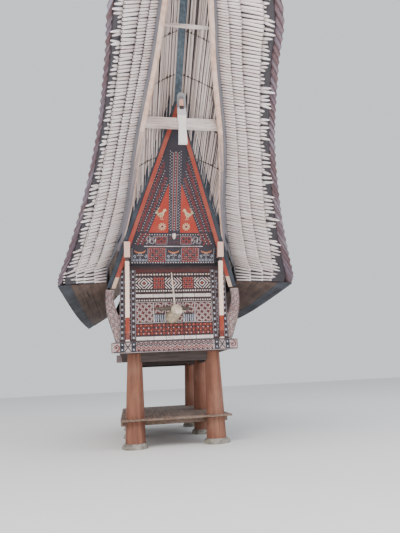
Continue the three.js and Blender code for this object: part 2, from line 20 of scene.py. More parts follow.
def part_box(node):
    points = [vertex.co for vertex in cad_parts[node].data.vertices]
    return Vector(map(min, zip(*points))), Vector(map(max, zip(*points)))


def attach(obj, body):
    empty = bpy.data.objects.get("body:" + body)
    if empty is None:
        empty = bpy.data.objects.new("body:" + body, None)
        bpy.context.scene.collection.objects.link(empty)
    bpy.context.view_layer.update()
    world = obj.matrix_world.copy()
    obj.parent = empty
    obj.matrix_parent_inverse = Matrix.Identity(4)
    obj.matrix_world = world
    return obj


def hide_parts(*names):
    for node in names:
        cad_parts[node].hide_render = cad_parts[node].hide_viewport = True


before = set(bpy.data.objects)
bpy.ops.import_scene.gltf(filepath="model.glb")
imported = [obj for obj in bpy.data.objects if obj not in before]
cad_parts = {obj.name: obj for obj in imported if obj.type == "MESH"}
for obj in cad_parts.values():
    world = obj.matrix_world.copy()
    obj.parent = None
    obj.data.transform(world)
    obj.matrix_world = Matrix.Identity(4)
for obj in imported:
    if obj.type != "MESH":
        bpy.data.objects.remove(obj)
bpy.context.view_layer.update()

ROOT = "root"
TURN = 2.0 * math.pi
DIAGONAL = 45.0
HANDS = (-1, 1)
GABLE_SLOPE = 0.6
LEAN = math.atan(GABLE_SLOPE)

Tint = tuple[int, int, int]
Colour = tuple[float, float, float, float]
Material = bpy.types.Material
Socket = bpy.types.NodeSocket
Mesh = bpy.types.Mesh
Piece = bpy.types.Object
Point = Sequence[float]
Span = Sequence[float]
Path = Sequence[Point]
Lift = Callable[[float, float], float]

logging.basicConfig(level=logging.INFO, format="%(message)s")
log = logging.getLogger("rice_barn")


def srgb(red: int, green: int, blue: int) -> Colour:
    """Linear colour of three display values from 0 to 255."""
    channels = [c / 255.0 for c in (red, green, blue)]
    linear = [((c + 0.055) / 1.055) ** 2.4 if c > 0.04045 else c / 12.92 for c in channels]
    return (linear[0], linear[1], linear[2], 1.0)


def darker(tint: Tint, share: float) -> Colour:
    """The same colour with a share of its light."""
    red, green, blue, _ = srgb(*tint)
    return (red * share, green * share, blue * share, 1.0)


class Axis(Enum):
    """Direction in which wood grain runs."""

    X = 0
    Y = 1
    Z = 2

    def stretch(self, across: float, along: float) -> list[float]:
        """Texture scale with one value along this axis and another across it."""
        scale = [across] * 3
        scale[self.value] = along
        return scale


class Graph:
    """Writes nodes into one node tree."""

    def __init__(self, tree: bpy.types.NodeTree) -> None:
        """Keeps the tree."""
        self.tree = tree

    def feed(self, socket: Socket, value: Any) -> None:
        """Links a socket to another socket, or sets its value, with a tint as a linear colour."""
        if isinstance(value, Socket):
            self.tree.links.new(value, socket)
        elif isinstance(value, tuple) and isinstance(value[0], int):
            socket.default_value = srgb(*value)
        else:
            socket.default_value = value

    def node(self, kind: str, inputs: dict[str, Any], output: str | int = 0, **settings: Any) -> Socket:
        """Adds a node.

        Args:
            kind: the node's type name.
            inputs: a socket or value for each named input.
            output: name or place of the wanted output.
            settings: the node's own properties.

        Returns:
            The wanted output socket.
        """
        made = self.tree.nodes.new(kind)
        for key, value in settings.items():
            setattr(made, key, value)
        for label, value in inputs.items():
            self.feed(next(s for s in made.inputs if s.name == label and s.enabled), value)
        if isinstance(output, int):
            return [s for s in made.outputs if s.enabled][output]
        return made.outputs[output]

    def calc(self, operation: str, *values: Any, kind: str = "ShaderNodeMath") -> Socket:
        """Result of one operation on numbers, or on vectors with the vector kind."""
        made = self.tree.nodes.new(kind)
        made.operation = operation
        for socket, value in zip(made.inputs, values):
            self.feed(socket, value)
        return made.outputs[0]


class Shader(Graph):
    """Writes the nodes of one procedural material."""

    def __init__(self, name: str) -> None:
        """Starts a material of this name."""
        self.material = bpy.data.materials.new(name)
        self.material.use_nodes = True
        super().__init__(self.material.node_tree)
        self.principled = self.tree.nodes["Principled BSDF"]
        self.place = self.node("ShaderNodeTexCoord", {}, "Object")

    def noise(self, scale: Point, detail: float = 4.0, roughness: float = 0.55) -> Socket:
        """Noise from 0 to 1.

        Args:
            scale: features per metre along X, Y and Z.
            detail: octaves.
            roughness: weight of the finer octaves.

        Returns:
            The noise value.
        """
        place = self.node("ShaderNodeMapping", {"Vector": self.place, "Scale": tuple(scale)})
        look = {"Vector": place, "Scale": 1.0, "Detail": detail, "Roughness": roughness}
        return self.node("ShaderNodeTexNoise", look)

    def share(self, value: Any, low: float, high: float) -> Socket:
        """Smooth step of a value from 0 at low to 1 at high."""
        limits = {"Value": value, "From Min": low, "From Max": high}
        return self.node("ShaderNodeMapRange", limits, interpolation_type="SMOOTHSTEP")

    def mix(self, factor: Any, first: Any, second: Any) -> Socket:
        """Colour between two colours."""
        return self.node("ShaderNodeMix", {"Factor": factor, "A": first, "B": second}, data_type="RGBA")

    def attribute(self, name: str) -> Socket:
        """Value that the piece's own mesh carries."""
        return self.node("ShaderNodeAttribute", {}, "Fac", attribute_name=name)

    def axes(self, output: str = "Object") -> list[Socket]:
        """The three parts of the object coordinates, or of another output of that node."""
        vector = self.place.node.outputs[output]
        return list(self.node("ShaderNodeSeparateXYZ", {"Vector": vector}).node.outputs)

    def outward(self) -> Socket:
        """Share that is 1 on faces that look away from the house's middle plane."""
        side = self.calc("SIGN", self.axes()[0])
        return self.share(self.calc("MULTIPLY", side, self.axes("Normal")[0]), 0.45, 0.55)

    def coat(self, colour: Any, roughness: Any, height: Any, depth: float) -> Material:
        """Joins colour, roughness and relief to the surface.

        Args:
            colour: base colour.
            roughness: surface roughness.
            height: relief from 0 to 1.
            depth: depth of the relief in metres.

        Returns:
            The finished material.
        """
        relief = {"Distance": depth, "Strength": 0.9, "Height": height}
        surface = {"Base Color": colour, "Roughness": roughness,
                   "Normal": self.node("ShaderNodeBump", relief)}
        for label, value in surface.items():
            self.feed(self.principled.inputs[label], value)
        return self.material


@dataclass(frozen=True)
class Timber:
    """Hewn wood with grain, drying cracks and a weathered bloom."""

    name: str
    light: Tint
    dark: Tint
    bloom: Tint
    grain: Axis
    bloom_share: float = 0.35
    lines: float = 26.0
    roughness: float = 0.8
    crack: float = 1.0
    outer_flank: Tint | None = None

    def material(self) -> Material:
        """Builds the wood material."""
        shader = Shader(self.name)
        figure = shader.noise(self.grain.stretch(self.lines, self.lines * 0.06), detail=6.0)
        cracks = shader.noise(self.grain.stretch(self.lines * 2.6, self.lines * 0.045), detail=3.0)
        patches = shader.noise((1.7, 1.7, 1.7), detail=6.0)
        wood = shader.mix(shader.share(figure, 0.34, 0.66), self.dark, self.light)
        bloom = shader.calc("MULTIPLY", shader.share(patches, 0.42, 0.68), self.bloom_share)
        worn = shader.mix(bloom, wood, self.bloom)
        sound = shader.share(cracks, 0.3, 0.37)
        cracked = shader.mix(self.crack, worn, darker(self.dark, 0.35))
        colour = shader.mix(sound, cracked, worn)
        if self.outer_flank:
            colour = shader.mix(shader.outward(), colour, self.outer_flank)
        height = shader.calc("ADD", shader.calc("MULTIPLY", figure, 0.4), sound)
        rough = shader.calc("ADD", shader.calc("MULTIPLY", patches, 0.2), self.roughness - 0.1)
        return shader.coat(colour, rough, height, 0.003)


@dataclass(frozen=True)
class Paint:
    """Old paint on wood, chipped to the wood below and dusted with grime."""

    name: str
    coat: Tint
    wood: Tint
    grime: Tint
    chips: float = 0.3
    fade: float = 0.35

    def painted(self, shader: Shader, coat: Any) -> Material:
        """Material of a coat's colour, chipped and faded."""
        chips = shader.noise((34.0, 34.0, 20.0), detail=8.0, roughness=0.7)
        film = shader.share(chips, self.chips, self.chips + 0.07)
        dust = shader.noise((3.1, 3.1, 2.2), detail=7.0, roughness=0.65)
        faded = shader.mix(shader.calc("MULTIPLY", shader.share(dust, 0.4, 0.72), self.fade), coat,
                           self.grime)
        rough = shader.calc("SUBTRACT", 0.86, shader.calc("MULTIPLY", film, 0.12))
        return shader.coat(shader.mix(film, self.wood, faded), rough, film, 0.0008)

    def material(self) -> Material:
        """Builds the paint material."""
        return self.painted(Shader(self.name), self.coat)


@dataclass(frozen=True)
class BandedPaint:
    """Coats of paint, or bands of painted shade, that follow each other up a board, with its flanks in
    another colour if asked.
    """

    name: str
    film: Paint
    bands: tuple[tuple[float, Tint], ...]
    flank: Tint | None = None
    face_level: float = 0.0
    blur: float = 0.012

    def material(self) -> Material:
        """Builds the banded material."""
        shader = Shader(self.name)
        _, depth, height = shader.axes()
        wobble = shader.calc("MULTIPLY", shader.noise((14.0, 14.0, 14.0)), self.blur)
        level = shader.calc("ADD", height, wobble)
        coat = self.bands[0][1]
        for start, colour in self.bands[1:]:
            coat = shader.mix(shader.share(level, start, start + self.blur), coat, colour)
        if self.flank:
            coat = shader.mix(self.front(shader, depth, height), self.flank, coat)
        return self.film.painted(shader, coat)

    def front(self, shader: Shader, depth: Socket, height: Socket) -> Socket:
        """Share that is 1 on the leaning front face and 0 behind it."""
        forward = shader.calc("MULTIPLY", shader.calc("ABSOLUTE", depth), math.cos(LEAN))
        out = shader.calc("SUBTRACT", forward, shader.calc("MULTIPLY", height, math.sin(LEAN)))
        return shader.share(out, self.face_level - 0.006, self.face_level - 0.002)


@dataclass(frozen=True)
class CarvedGround:
    """Dark board covered with a fine scratched lattice, as the ground between the carved ornament."""

    name: str
    ground: Tint
    line: Tint
    fill: Tint
    across: Axis
    cell: float = 0.055
    line_width: float = 0.1
    wear: float = 0.45

    def material(self) -> Material:
        """Builds the carved ground material."""
        shader = Shader(self.name)
        axes = shader.axes()
        across, height = axes[self.across.value], axes[2]
        rising = shader.calc("MULTIPLY", shader.calc("ADD", across, height), 1.0 / self.cell)
        falling = shader.calc("MULTIPLY", shader.calc("SUBTRACT", across, height), 1.0 / self.cell)
        nearest = shader.calc(
            "MINIMUM", shader.calc("PINGPONG", rising, 0.5), shader.calc("PINGPONG", falling, 0.5)
        )
        line = shader.share(nearest, self.line_width, self.line_width * 0.6)
        core = shader.share(nearest, 0.27, 0.3)
        wear = shader.share(shader.noise((9.0, 9.0, 9.0), detail=8.0, roughness=0.7), 0.36, 0.62)
        dust = shader.noise((2.3, 2.3, 2.3), detail=6.0)
        ground = shader.mix(shader.share(dust, 0.3, 0.8), self.ground, darker(self.ground, 1.7))
        filled = shader.mix(core, ground, self.fill)
        left = shader.calc("SUBTRACT", 1.0, shader.calc("MULTIPLY", wear, self.wear))
        drawn = shader.mix(shader.calc("MULTIPLY", line, left), filled, self.line)
        return shader.coat(drawn, 0.85, shader.calc("SUBTRACT", 1.0, line), 0.002)


@dataclass(frozen=True)
class BambooCulm:
    """Weathered bamboo with long streaks, a tone of its own for each culm, and painted shade that darkens
    each culm towards its inner end.
    """

    name: str
    pale: Tint
    tan: Tint
    grime: Tint

    def material(self) -> Material:
        """Builds the bamboo material."""
        shader = Shader(self.name)
        tone = shader.attribute("tone")
        length = shader.attribute("grain")
        streaks = shader.noise((22.0, 46.0, 46.0), detail=7.0, roughness=0.65)
        body = shader.mix(shader.share(tone, 0.15, 1.0), self.pale, self.tan)
        dirt = shader.calc("MULTIPLY", shader.share(streaks, 0.46, 0.72), 0.5)
        streaked = shader.mix(dirt, body, self.grime)
        # painted shade: each culm darkens in the grime colour towards its inner end, where the next layer
        # shades it
        shaded = shader.mix(shader.calc("MULTIPLY", shader.share(length, 0.3, 0.95), 0.6), streaked,
                            self.grime)
        rough = shader.calc("ADD", shader.calc("MULTIPLY", streaks, 0.2), 0.6)
        return shader.coat(shaded, rough, streaks, 0.0015)


@dataclass(frozen=True)
class SplitCane:
    """Smoked laths and lashings, each of its own tone, streaked along the ridge."""

    name: str
    light: Tint
    dark: Tint

    def material(self) -> Material:
        """Builds the lath material."""
        shader = Shader(self.name)
        tone = shader.attribute("tone")
        streaks = shader.noise((70.0, 2.2, 30.0), detail=6.0, roughness=0.65)
        blotches = shader.noise((1.2, 0.8, 1.2), detail=5.0)
        blend = shader.calc("ADD", shader.calc("MULTIPLY", tone, 0.6),
                            shader.calc("MULTIPLY", streaks, 0.5))
        body = shader.mix(shader.share(blend, 0.15, 0.95), self.light, self.dark)
        aged = shader.mix(shader.calc("MULTIPLY", shader.share(blotches, 0.42, 0.7), 0.5), body, self.dark)
        return shader.coat(aged, 0.85, streaks, 0.0015)


@dataclass(frozen=True)
class RustedSheet:
    """Old corrugated sheet: dull metal under rust that runs down the slope."""

    name: str
    skin: Tint
    rust: Tint
    zinc: Tint

    def material(self) -> Material:
        """Builds the sheet material."""
        shader = Shader(self.name)
        runs = shader.noise((0.5, 16.0, 0.5), detail=8.0, roughness=0.65)
        patches = shader.noise((0.9, 0.9, 0.9), detail=8.0, roughness=0.62)
        specks = shader.noise((60.0, 60.0, 60.0), detail=4.0)
        dull = shader.mix(shader.share(patches, 0.48, 0.66), self.skin, self.zinc)
        rusty = shader.mix(shader.share(runs, 0.42, 0.62), self.rust, dull)
        speckled = shader.mix(shader.calc("MULTIPLY", shader.share(specks, 0.56, 0.66), 0.5), rusty,
                              self.rust)
        shader.feed(shader.principled.inputs["Metallic"], 0.25)
        rough = shader.calc("ADD", shader.calc("MULTIPLY", patches, 0.3), 0.5)
        return shader.coat(speckled, rough, specks, 0.0006)


@dataclass(frozen=True)
class Stone:
    """Rough field stone with lichen patches."""

    name: str
    light: Tint
    dark: Tint
    lichen: Tint

    def material(self) -> Material:
        """Builds the stone material."""
        shader = Shader(self.name)
        grit = shader.noise((45.0, 45.0, 45.0), detail=8.0, roughness=0.7)
        bulk = shader.noise((5.0, 5.0, 5.0), detail=6.0)
        body = shader.mix(shader.share(bulk, 0.35, 0.65), self.dark, self.light)
        spots = shader.share(shader.noise((11.0, 11.0, 11.0), detail=5.0), 0.58, 0.66)
        colour = shader.mix(shader.calc("MULTIPLY", spots, 0.6), body, self.lichen)
        return shader.coat(colour, 0.92, shader.calc("ADD", grit, bulk), 0.006)


@dataclass(frozen=True)
class Plaster:
    """Even, faintly mottled finish for the studio floor."""

    name: str
    base: Tint
    shade: Tint

    def material(self) -> Material:
        """Builds the floor material."""
        shader = Shader(self.name)
        mottle = shader.noise((0.4, 0.4, 0.4), detail=3.0)
        return shader.coat(shader.mix(mottle, self.base, self.shade), 0.9, mottle, 0.0005)


BARE_WOOD = (126, 96, 80)
PILLAR_WOOD = Timber(
    "pillar_wood", (132, 84, 64), (98, 60, 47), (150, 112, 94), Axis.Z, 0.35, 9.0, 0.8, 0.5,
)
DARK_TIMBER = Timber("smoked_beam_wood", (74, 62, 58), (44, 38, 38), (92, 84, 82), Axis.Y, 0.3)
CROSS_TIMBER = Timber("smoked_cross_wood", (74, 62, 58), (44, 38, 38), (92, 84, 82), Axis.X, 0.3)
TIE_TIMBER = Timber("slate_tie_wood", (58, 56, 64), (34, 34, 40), (84, 84, 94), Axis.X, 0.35)
RIDGE_TIMBER = Timber("slate_ridge_wood", (86, 102, 116), (58, 70, 80), (112, 126, 138), Axis.Y, 0.35)
PLANK_WOOD = Timber("platform_plank_wood", (126, 102, 86), (82, 64, 56), (150, 134, 124), Axis.Y, 0.4)
SOFFIT_WOOD = Timber("soffit_board_wood", (96, 76, 66), (66, 52, 48), (118, 100, 92), Axis.Y, 0.4, 12.0)
# dark slate of the eave's end strip: painted shade
EAVE_SHADE_WOOD = Timber("eave_strip_wood", (66, 70, 78), (46, 48, 54), (92, 98, 108), Axis.Y, 0.4, 12.0)
WEATHERED_ACROSS = Timber(
    "weathered_cross_wood", (214, 196, 190), (166, 148, 144), (236, 232, 232), Axis.X, 0.6, 34.0,
)
POLE_WOOD = Timber("pale_pole_wood", (244, 234, 222), (206, 190, 172), (250, 246, 240), Axis.Z, 0.5, 60.0)
VERGE_WOOD = Timber(
    "verge_board_wood", (230, 200, 184), (204, 168, 150), (236, 216, 208), Axis.Y, 0.5, 16.0, 0.75, 0.25,
    (128, 124, 132),
)
HEAD_WOOD = Timber(
    "carved_head_wood", (222, 208, 188), (186, 168, 146), (236, 228, 214), Axis.Y, 0.5, 14.0, 0.8, 0.35,
)
NECK_WOOD = Timber(
    "dark_neck_wood", (178, 162, 140), (132, 118, 100), (196, 184, 164), Axis.Y, 0.4, 14.0, 0.8, 0.5,
)
HORN_AND_SHADE = Timber("dark_horn", (86, 74, 64), (50, 44, 40), (118, 106, 94), Axis.X, 0.3, 30.0, 0.6)
BONE = Timber("old_bone", (246, 236, 228), (204, 188, 174), (252, 248, 244), Axis.Z, 0.3, 40.0, 0.6)
RED_PAINT = Paint("red_rake_paint", (150, 62, 50), BARE_WOOD, (160, 100, 84), 0.3, 0.45)
DARK_PAINT = Paint("blue_black_rake_paint", (50, 58, 70), (84, 80, 80), (96, 102, 112), 0.3, 0.4)
# slate colour of the first riser's boards: painted shade of the riser
RISER_SHADE_PAINT = Paint("slate_verge_paint", (110, 110, 118), (122, 114, 112), (146, 142, 146), 0.28, 0.5)
TRIANGLE_RED = Paint("red_field_paint", (160, 50, 38), BARE_WOOD, (164, 86, 72), 0.28, 0.45)
HANGER_COAT = Paint("hanger_coat_paint", (240, 236, 234), (200, 190, 184), (214, 210, 210), 0.26, 0.35)
KEY_WOOD = Paint("slot_key", (226, 168, 146), (170, 120, 100), (236, 210, 198), 0.3, 0.4)
# KEY_SHADE: painted shade in the slot under the key
KEY_SHADE = Paint("slot_wedge", (74, 56, 58), (60, 48, 48), (96, 80, 80), 0.3, 0.4)
WHITE = Paint("white_carving_paint", (226, 218, 216), (112, 98, 96), (164, 152, 150), 0.36, 0.6)
BLUE = Paint("pale_blue_paint", (176, 188, 204), (104, 100, 104), (146, 150, 158), 0.34, 0.5)
RED = Paint("red_carving_paint", (158, 54, 46), (84, 58, 54), (146, 92, 82), 0.34, 0.4)
DEEP_RED = Paint("deep_red_carving_paint", (112, 44, 42), (92, 70, 66), (128, 88, 84), 0.34, 0.4)
OCHRE = Paint("ochre_carving_paint", (216, 142, 74), (110, 84, 66), (196, 154, 116), 0.34, 0.35)
BLACK = Paint("black_carving_paint", (40, 40, 48), (82, 74, 72), (76, 74, 80), 0.32, 0.4)
SPECK = Paint("speck_carving_paint", (168, 166, 172), (98, 90, 92), (130, 124, 128), 0.34, 0.5)
CREAM = Paint("cream_carving_paint", (206, 186, 150), (128, 84, 64), (170, 150, 124), 0.36, 0.5)
ORANGE = Paint("dim_orange_paint", (186, 116, 76), (104, 76, 64), (160, 120, 98), 0.36, 0.5)
STRUT_CREAM = Paint("strut_cream_paint", (252, 220, 202), (206, 146, 120), (236, 208, 192), 0.22, 0.14)
# up to 2.87 m, apart from the thin white band at 2.35 m, the dark red and orange coats are painted shade of
# the strut's lower part; the dark band from 4.13 m to 4.21 m is painted shade in the neck's notch
STRUT_PAINT_AND_SHADE = BandedPaint(
    "strut_paint", STRUT_CREAM, ((0.0, (96, 44, 40)), (2.35, (236, 228, 222)), (2.375, (106, 36, 26)),
    (2.52, (142, 48, 24)), (2.87, (252, 222, 204)), (4.13, (64, 52, 54)), (4.21, (232, 190, 176))),
)
RED_RAKE_PAINT = BandedPaint(
    "red_rake_board_paint", RED_PAINT, ((0.0, (222, 196, 174)), (3.84, (150, 62, 50))), (50, 56, 66),
)
HANGER_PAINT = BandedPaint(
    "hanger_paint", HANGER_COAT, ((0.0, (246, 242, 240)), (6.5, (206, 204, 208)), (6.66, (130, 132, 140))),
)
WALL_GROUND = CarvedGround("carved_wall_ground", (40, 36, 42), (92, 80, 80), (84, 36, 34), Axis.X)
SIDE_GROUND = CarvedGround("carved_side_ground", (40, 36, 42), (92, 80, 80), (84, 36, 34), Axis.Y)
GABLE_GROUND = CarvedGround(
    "carved_gable_ground", (42, 44, 54), (82, 78, 86), (62, 44, 48), Axis.X, 0.05, 0.08,
)
PALE_GROUND = CarvedGround(
    "carved_sill_ground", (178, 164, 162), (104, 80, 82), (128, 106, 108), Axis.X, 0.06, 0.12,
)
CULM = BambooCulm("weathered_culm", (252, 246, 246), (236, 224, 222), (180, 164, 162))
RAGGED_CULM = BambooCulm("broken_culm", (246, 240, 240), (222, 212, 210), (150, 138, 138))
LATH = SplitCane("smoked_lath", (230, 216, 210), (170, 152, 146))
LOOSE_LATH = SplitCane("loose_lath", (238, 230, 228), (188, 172, 168))
LASHING = SplitCane("lining_pole_cane", (84, 72, 68), (48, 42, 42))
WRAP = SplitCane("lashing_cane", (150, 136, 128), (96, 82, 76))
# dark core colour: painted shade seen in the gaps between the culms
SHADE_DARK_CORE = SplitCane("roof_core_cane", (72, 70, 76), (50, 48, 54))
SHEET = RustedSheet("corrugated_sheet", (120, 110, 124), (100, 78, 82), (150, 144, 156))
FIELD_STONE = Stone("field_stone", (156, 150, 140), (104, 98, 92), (150, 156, 130))
FLOOR = Plaster("studio_floor", (226, 226, 224), (218, 218, 216))


@lru_cache(maxsize=None)
def finish_of(finish: Any) -> Material:
    """Material of a finish, made once."""
    return finish.material()


def dress(node: str, finish: Any) -> None:
    """Gives a CAD node its finish.

    Args:
        node: the node's name.
        finish: one of the finishes above.
    """
    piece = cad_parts[node]
    if not piece.material_slots:
        piece.data.materials.append(None)
    for slot in piece.material_slots:
        slot.material = finish_of(finish)
    log.info("dressed %s with %s", node, finish.name)


def settle(piece: Piece, slot: str, *nodes: str) -> Piece:
    """Rides a piece on the house and hides the CAD nodes it stands for.

    Args:
        piece: a finished mesh object with its material.
        slot: not used.
        nodes: the CAD nodes that it replaces.

    Returns:
        The same piece.
    """
    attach(piece, ROOT)
    if nodes:
        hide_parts(*nodes)
    log.info("%s: %d faces", piece.name, len(piece.data.polygons))
    return piece


class Shape:
    """Points and faces gathered into one mesh."""

    def __init__(self) -> None:
        """Starts empty."""
        self.points: list[Point] = []
        self.faces: list[Sequence[int]] = []

    def add(self, points: Path, faces: Sequence[Sequence[int]]) -> None:
        """Adds points and the faces between them."""
        start = len(self.points)
        self.points.extend(tuple(float(c) for c in p) for p in points)
        self.faces.extend([start + i for i in face] for face in faces)

    def plate(self, outline: Path, low: float, high: float, inset: float = 1.0) -> None:
        """Adds a flat plate of an outline in X and Y.

        Args:
            outline: corners, anticlockwise from above.
            low: height of its foot.
            high: height of its face.
            inset: scale of the face about the outline's middle.
        """
        count = len(outline)
        middle = np.mean(np.array(outline, float), axis=0)
        foot = [(x, y, low) for x, y in outline]
        face = [tuple(middle + (np.array(p) - middle) * inset) + (high,) for p in outline]
        sides = [[i, (i + 1) % count, count + (i + 1) % count, count + i] for i in range(count)]
        self.add(foot + face, sides + [list(range(count, 2 * count)), list(range(count))[::-1]])

    def strip(self, path: Path, widths: Point) -> None:
        """Adds a line of unit height along a path in X and Y.

        Args:
            path: points of the line.
            widths: width at each point.
        """
        path, high = np.array(path, float), 1.0
        steps = np.gradient(path, axis=0)
        steps /= np.linalg.norm(steps, axis=1)[:, None]
        normals = np.stack([-steps[:, 1], steps[:, 0]], axis=1) * np.array(widths)[:, None] / 2
        rings = []
        for point, normal in zip(path, normals):
            left, right = point + normal, point - normal
            rings += [(*right, 0.0), (*right, high), (*left, high), (*left, 0.0)]
        faces = [[0, 1, 2, 3]]
        for i in range(len(path) - 1):
            a, b = 4 * i, 4 * i + 4
            faces += [[a + j, b + j, b + (j + 1) % 4, a + (j + 1) % 4] for j in range(4)]
        last = 4 * (len(path) - 1)
        faces.append([last + 3, last + 2, last + 1, last])
        self.add(rings, faces)

    def rings(self, rings: Sequence[np.ndarray]) -> None:
        """Adds a skin over rings of equal length, closed at both ends."""
        count = len(rings[0])
        faces = []
        for r in range(len(rings) - 1):
            for i in range(count):
                j = (i + 1) % count
                faces.append([r * count + i, r * count + j, (r + 1) * count + j, (r + 1) * count + i])
        faces.append(list(range(count))[::-1])
        faces.append([(len(rings) - 1) * count + i for i in range(count)])
        self.add(np.concatenate(rings), faces)

    def mesh(self, name: str, smooth: float = 0.0, weld: bool = False) -> Mesh:
        """Makes the mesh, with its faces turned outwards.

        Args:
            name: the mesh's name.
            smooth: largest angle in degrees that is shaded smooth, or 0 for flat faces.
            weld: whether points at one place become one.

        Returns:
            The mesh.
        """
        mesh = bpy.data.meshes.new(name)
        mesh.from_pydata(self.points, [], self.faces)
        build = bmesh.new()
        build.from_mesh(mesh)
        if weld:
            bmesh.ops.remove_doubles(build, verts=build.verts, dist=1e-5)
        bmesh.ops.recalc_face_normals(build, faces=build.faces)
        build.to_mesh(mesh)
        build.free()
        if smooth:
            mesh.shade_smooth()
            mesh.set_sharp_from_angle(angle=math.radians(smooth))
        return mesh

    def settle(self, name: str, finish: Any, slot: str, *nodes: str, smooth: float = 0.0) -> Piece:
        """Makes the mesh into a piece and settles it."""
        return settle(piece_of(name, self.mesh(name, smooth), finish), slot, *nodes)


def circle(count: int) -> list[tuple[float, float]]:
    """Cosine and sine of even steps round a circle."""
    return [(math.cos(TURN * i / count), math.sin(TURN * i / count)) for i in range(count)]


def level_ring(middle: Vector, radii: Point, z: float) -> np.ndarray:
    """Level ring of points round a middle, one for each radius."""
    turns = zip(radii, circle(len(radii)))
    return np.array([(middle.x + radius * c, middle.y + radius * s, z) for radius, (c, s) in turns])


def block(left: float, right: float, low: float, high: float) -> Path:
    """Corners of an upright box."""
    return [(left, low), (right, low), (right, high), (left, high)]


def sides_of(side: int, inner: float, outer: float) -> tuple[float, float]:
    """Left and right of a span that is given for the right side."""
    low, high = sorted((side * inner, side * outer))
    return low, high


def travelled(steps: np.ndarray) -> np.ndarray:
    """Distance from the start at each point of a line."""
    return np.concatenate([[0.0], np.cumsum(steps)])


def piece_of(name: str, mesh: Mesh, finish: Any) -> Piece:
    """Object of a mesh with one finish, linked to the scene."""
    piece = bpy.data.objects.new(name, mesh)
    mesh.materials.clear()
    mesh.materials.append(finish_of(finish))
    bpy.context.scene.collection.objects.link(piece)
    return piece


def baked(piece: Piece) -> Piece:
    """Applies a piece's modifiers and keeps the result as its plain mesh."""
    graph = bpy.context.evaluated_depsgraph_get()
    mesh = bpy.data.meshes.new_from_object(piece.evaluated_get(graph), preserve_all_data_layers=True,
                                           depsgraph=graph)
    piece.modifiers.clear()
    piece.data = mesh
    return piece


class Tree(Graph):
    """Writes one geometry node tree with named inputs."""

    def __init__(self, name: str, inputs: dict[str, str]) -> None:
        """Starts a tree.

        Args:
            name: the tree's name.
            inputs: kind of each named input.
        """
        super().__init__(bpy.data.node_groups.new(name, "GeometryNodeTree"))
        face = self.tree.interface
        face.new_socket("Geometry", in_out="OUTPUT", socket_type="NodeSocketGeometry")
        face.new_socket("Geometry", in_out="INPUT", socket_type="NodeSocketGeometry")
        self.identifiers = {
            label: face.new_socket(label, in_out="INPUT", socket_type=f"NodeSocket{kind}").identifier
            for label, kind in inputs.items()
        }
        self.source = self.tree.nodes.new("NodeGroupInput")
        self.sink = self.tree.nodes.new("NodeGroupOutput")

    def given(self, label: str) -> Socket:
        """Output socket of a named input."""
        return self.source.outputs[label]

    def named(self, name: str, kind: str = "FLOAT_VECTOR") -> Socket:
        """Reads a named attribute."""
        return self.node("GeometryNodeInputNamedAttribute", {"Name": name}, data_type=kind)

    def random(self, low: Any, seed: Socket) -> Socket:
        """Random number from low to 1."""
        return self.node("FunctionNodeRandomValue", {"Min": low, "Max": 1.0, "Seed": seed},
                         data_type="FLOAT")

    def toned(self, geometry: Socket, domain: str, seed: Socket) -> Socket:
        """Stores a random tone on each element of a domain."""
        stored = {"Geometry": geometry, "Name": "tone", "Value": self.random(0.0, seed)}
        return self.node("GeometryNodeStoreNamedAttribute", stored, data_type="FLOAT", domain=domain)

    def end(self, geometry: Socket) -> None:
        """Realizes the instances and sets the finish."""
        real = self.node("GeometryNodeRealizeInstances", {"Geometry": geometry})
        done = self.node("GeometryNodeSetMaterial", {"Geometry": real, "Material": self.given("Finish")})
        self.tree.links.new(done, self.sink.inputs[0])

    def grow(self, name: str, mesh: Mesh, **values: Any) -> Piece:
        """Grows the tree on a mesh and keeps the result as a plain piece.

        Args:
            name: the piece's name.
            mesh: the points, edges or faces that the tree starts from.
            values: the tree's inputs.

        Returns:
            The piece.
        """
        piece = bpy.data.objects.new(name, mesh)
        bpy.context.scene.collection.objects.link(piece)
        modifier = piece.modifiers.new("grow", "NODES")
        modifier.node_group = self.tree
        for label, value in values.items():
            modifier[self.identifiers[label]] = value
        return baked(piece)


@lru_cache(maxsize=None)
def scatter_tree() -> Tree:
    """Tree that sets a copy of a motif on each point, turned, sized and toned."""
    tree = Tree("scatter", {"Motif": "Object", "Finish": "Material", "Spread": "Float", "Seed": "Int"})
    motif = tree.node("GeometryNodeObjectInfo", {"Object": tree.given("Motif")}, "Geometry")
    axes = {"Primary Axis": tree.named("along"), "Secondary Axis": tree.named("outward")}
    turn = tree.node("FunctionNodeAxesToRotation", axes, primary_axis="X", secondary_axis="Z")
    length = tree.random(tree.calc("SUBTRACT", 1.0, tree.given("Spread")), tree.given("Seed"))
    stretch = tree.node("ShaderNodeCombineXYZ", {"X": length, "Y": 1.0, "Z": 1.0})
    size = tree.calc("MULTIPLY", tree.named("size"), stretch, kind="ShaderNodeVectorMath")
    places = {"Points": tree.given("Geometry"), "Instance": motif, "Rotation": turn, "Scale": size}
    copies = tree.node("GeometryNodeInstanceOnPoints", places)
    tree.end(tree.toned(copies, "INSTANCE", tree.calc("ADD", tree.given("Seed"), 1.0)))
    return tree


@lru_cache(maxsize=None)
def cane_tree() -> Tree:
    """Tree that runs a round cane along each line of edges."""
    tree = Tree("cane", {"Radius": "Float", "Sides": "Int", "Finish": "Material", "Seed": "Int"})
    curves = tree.node("GeometryNodeMeshToCurve", {"Mesh": tree.given("Geometry")})
    toned = tree.toned(curves, "CURVE", tree.given("Seed"))
    section = {"Radius": tree.given("Radius"), "Resolution": tree.given("Sides")}
    ring = tree.node("GeometryNodeCurvePrimitiveCircle", section)
    tree.end(tree.node("GeometryNodeCurveToMesh",
                       {"Curve": toned, "Profile Curve": ring, "Fill Caps": True}))
    return tree


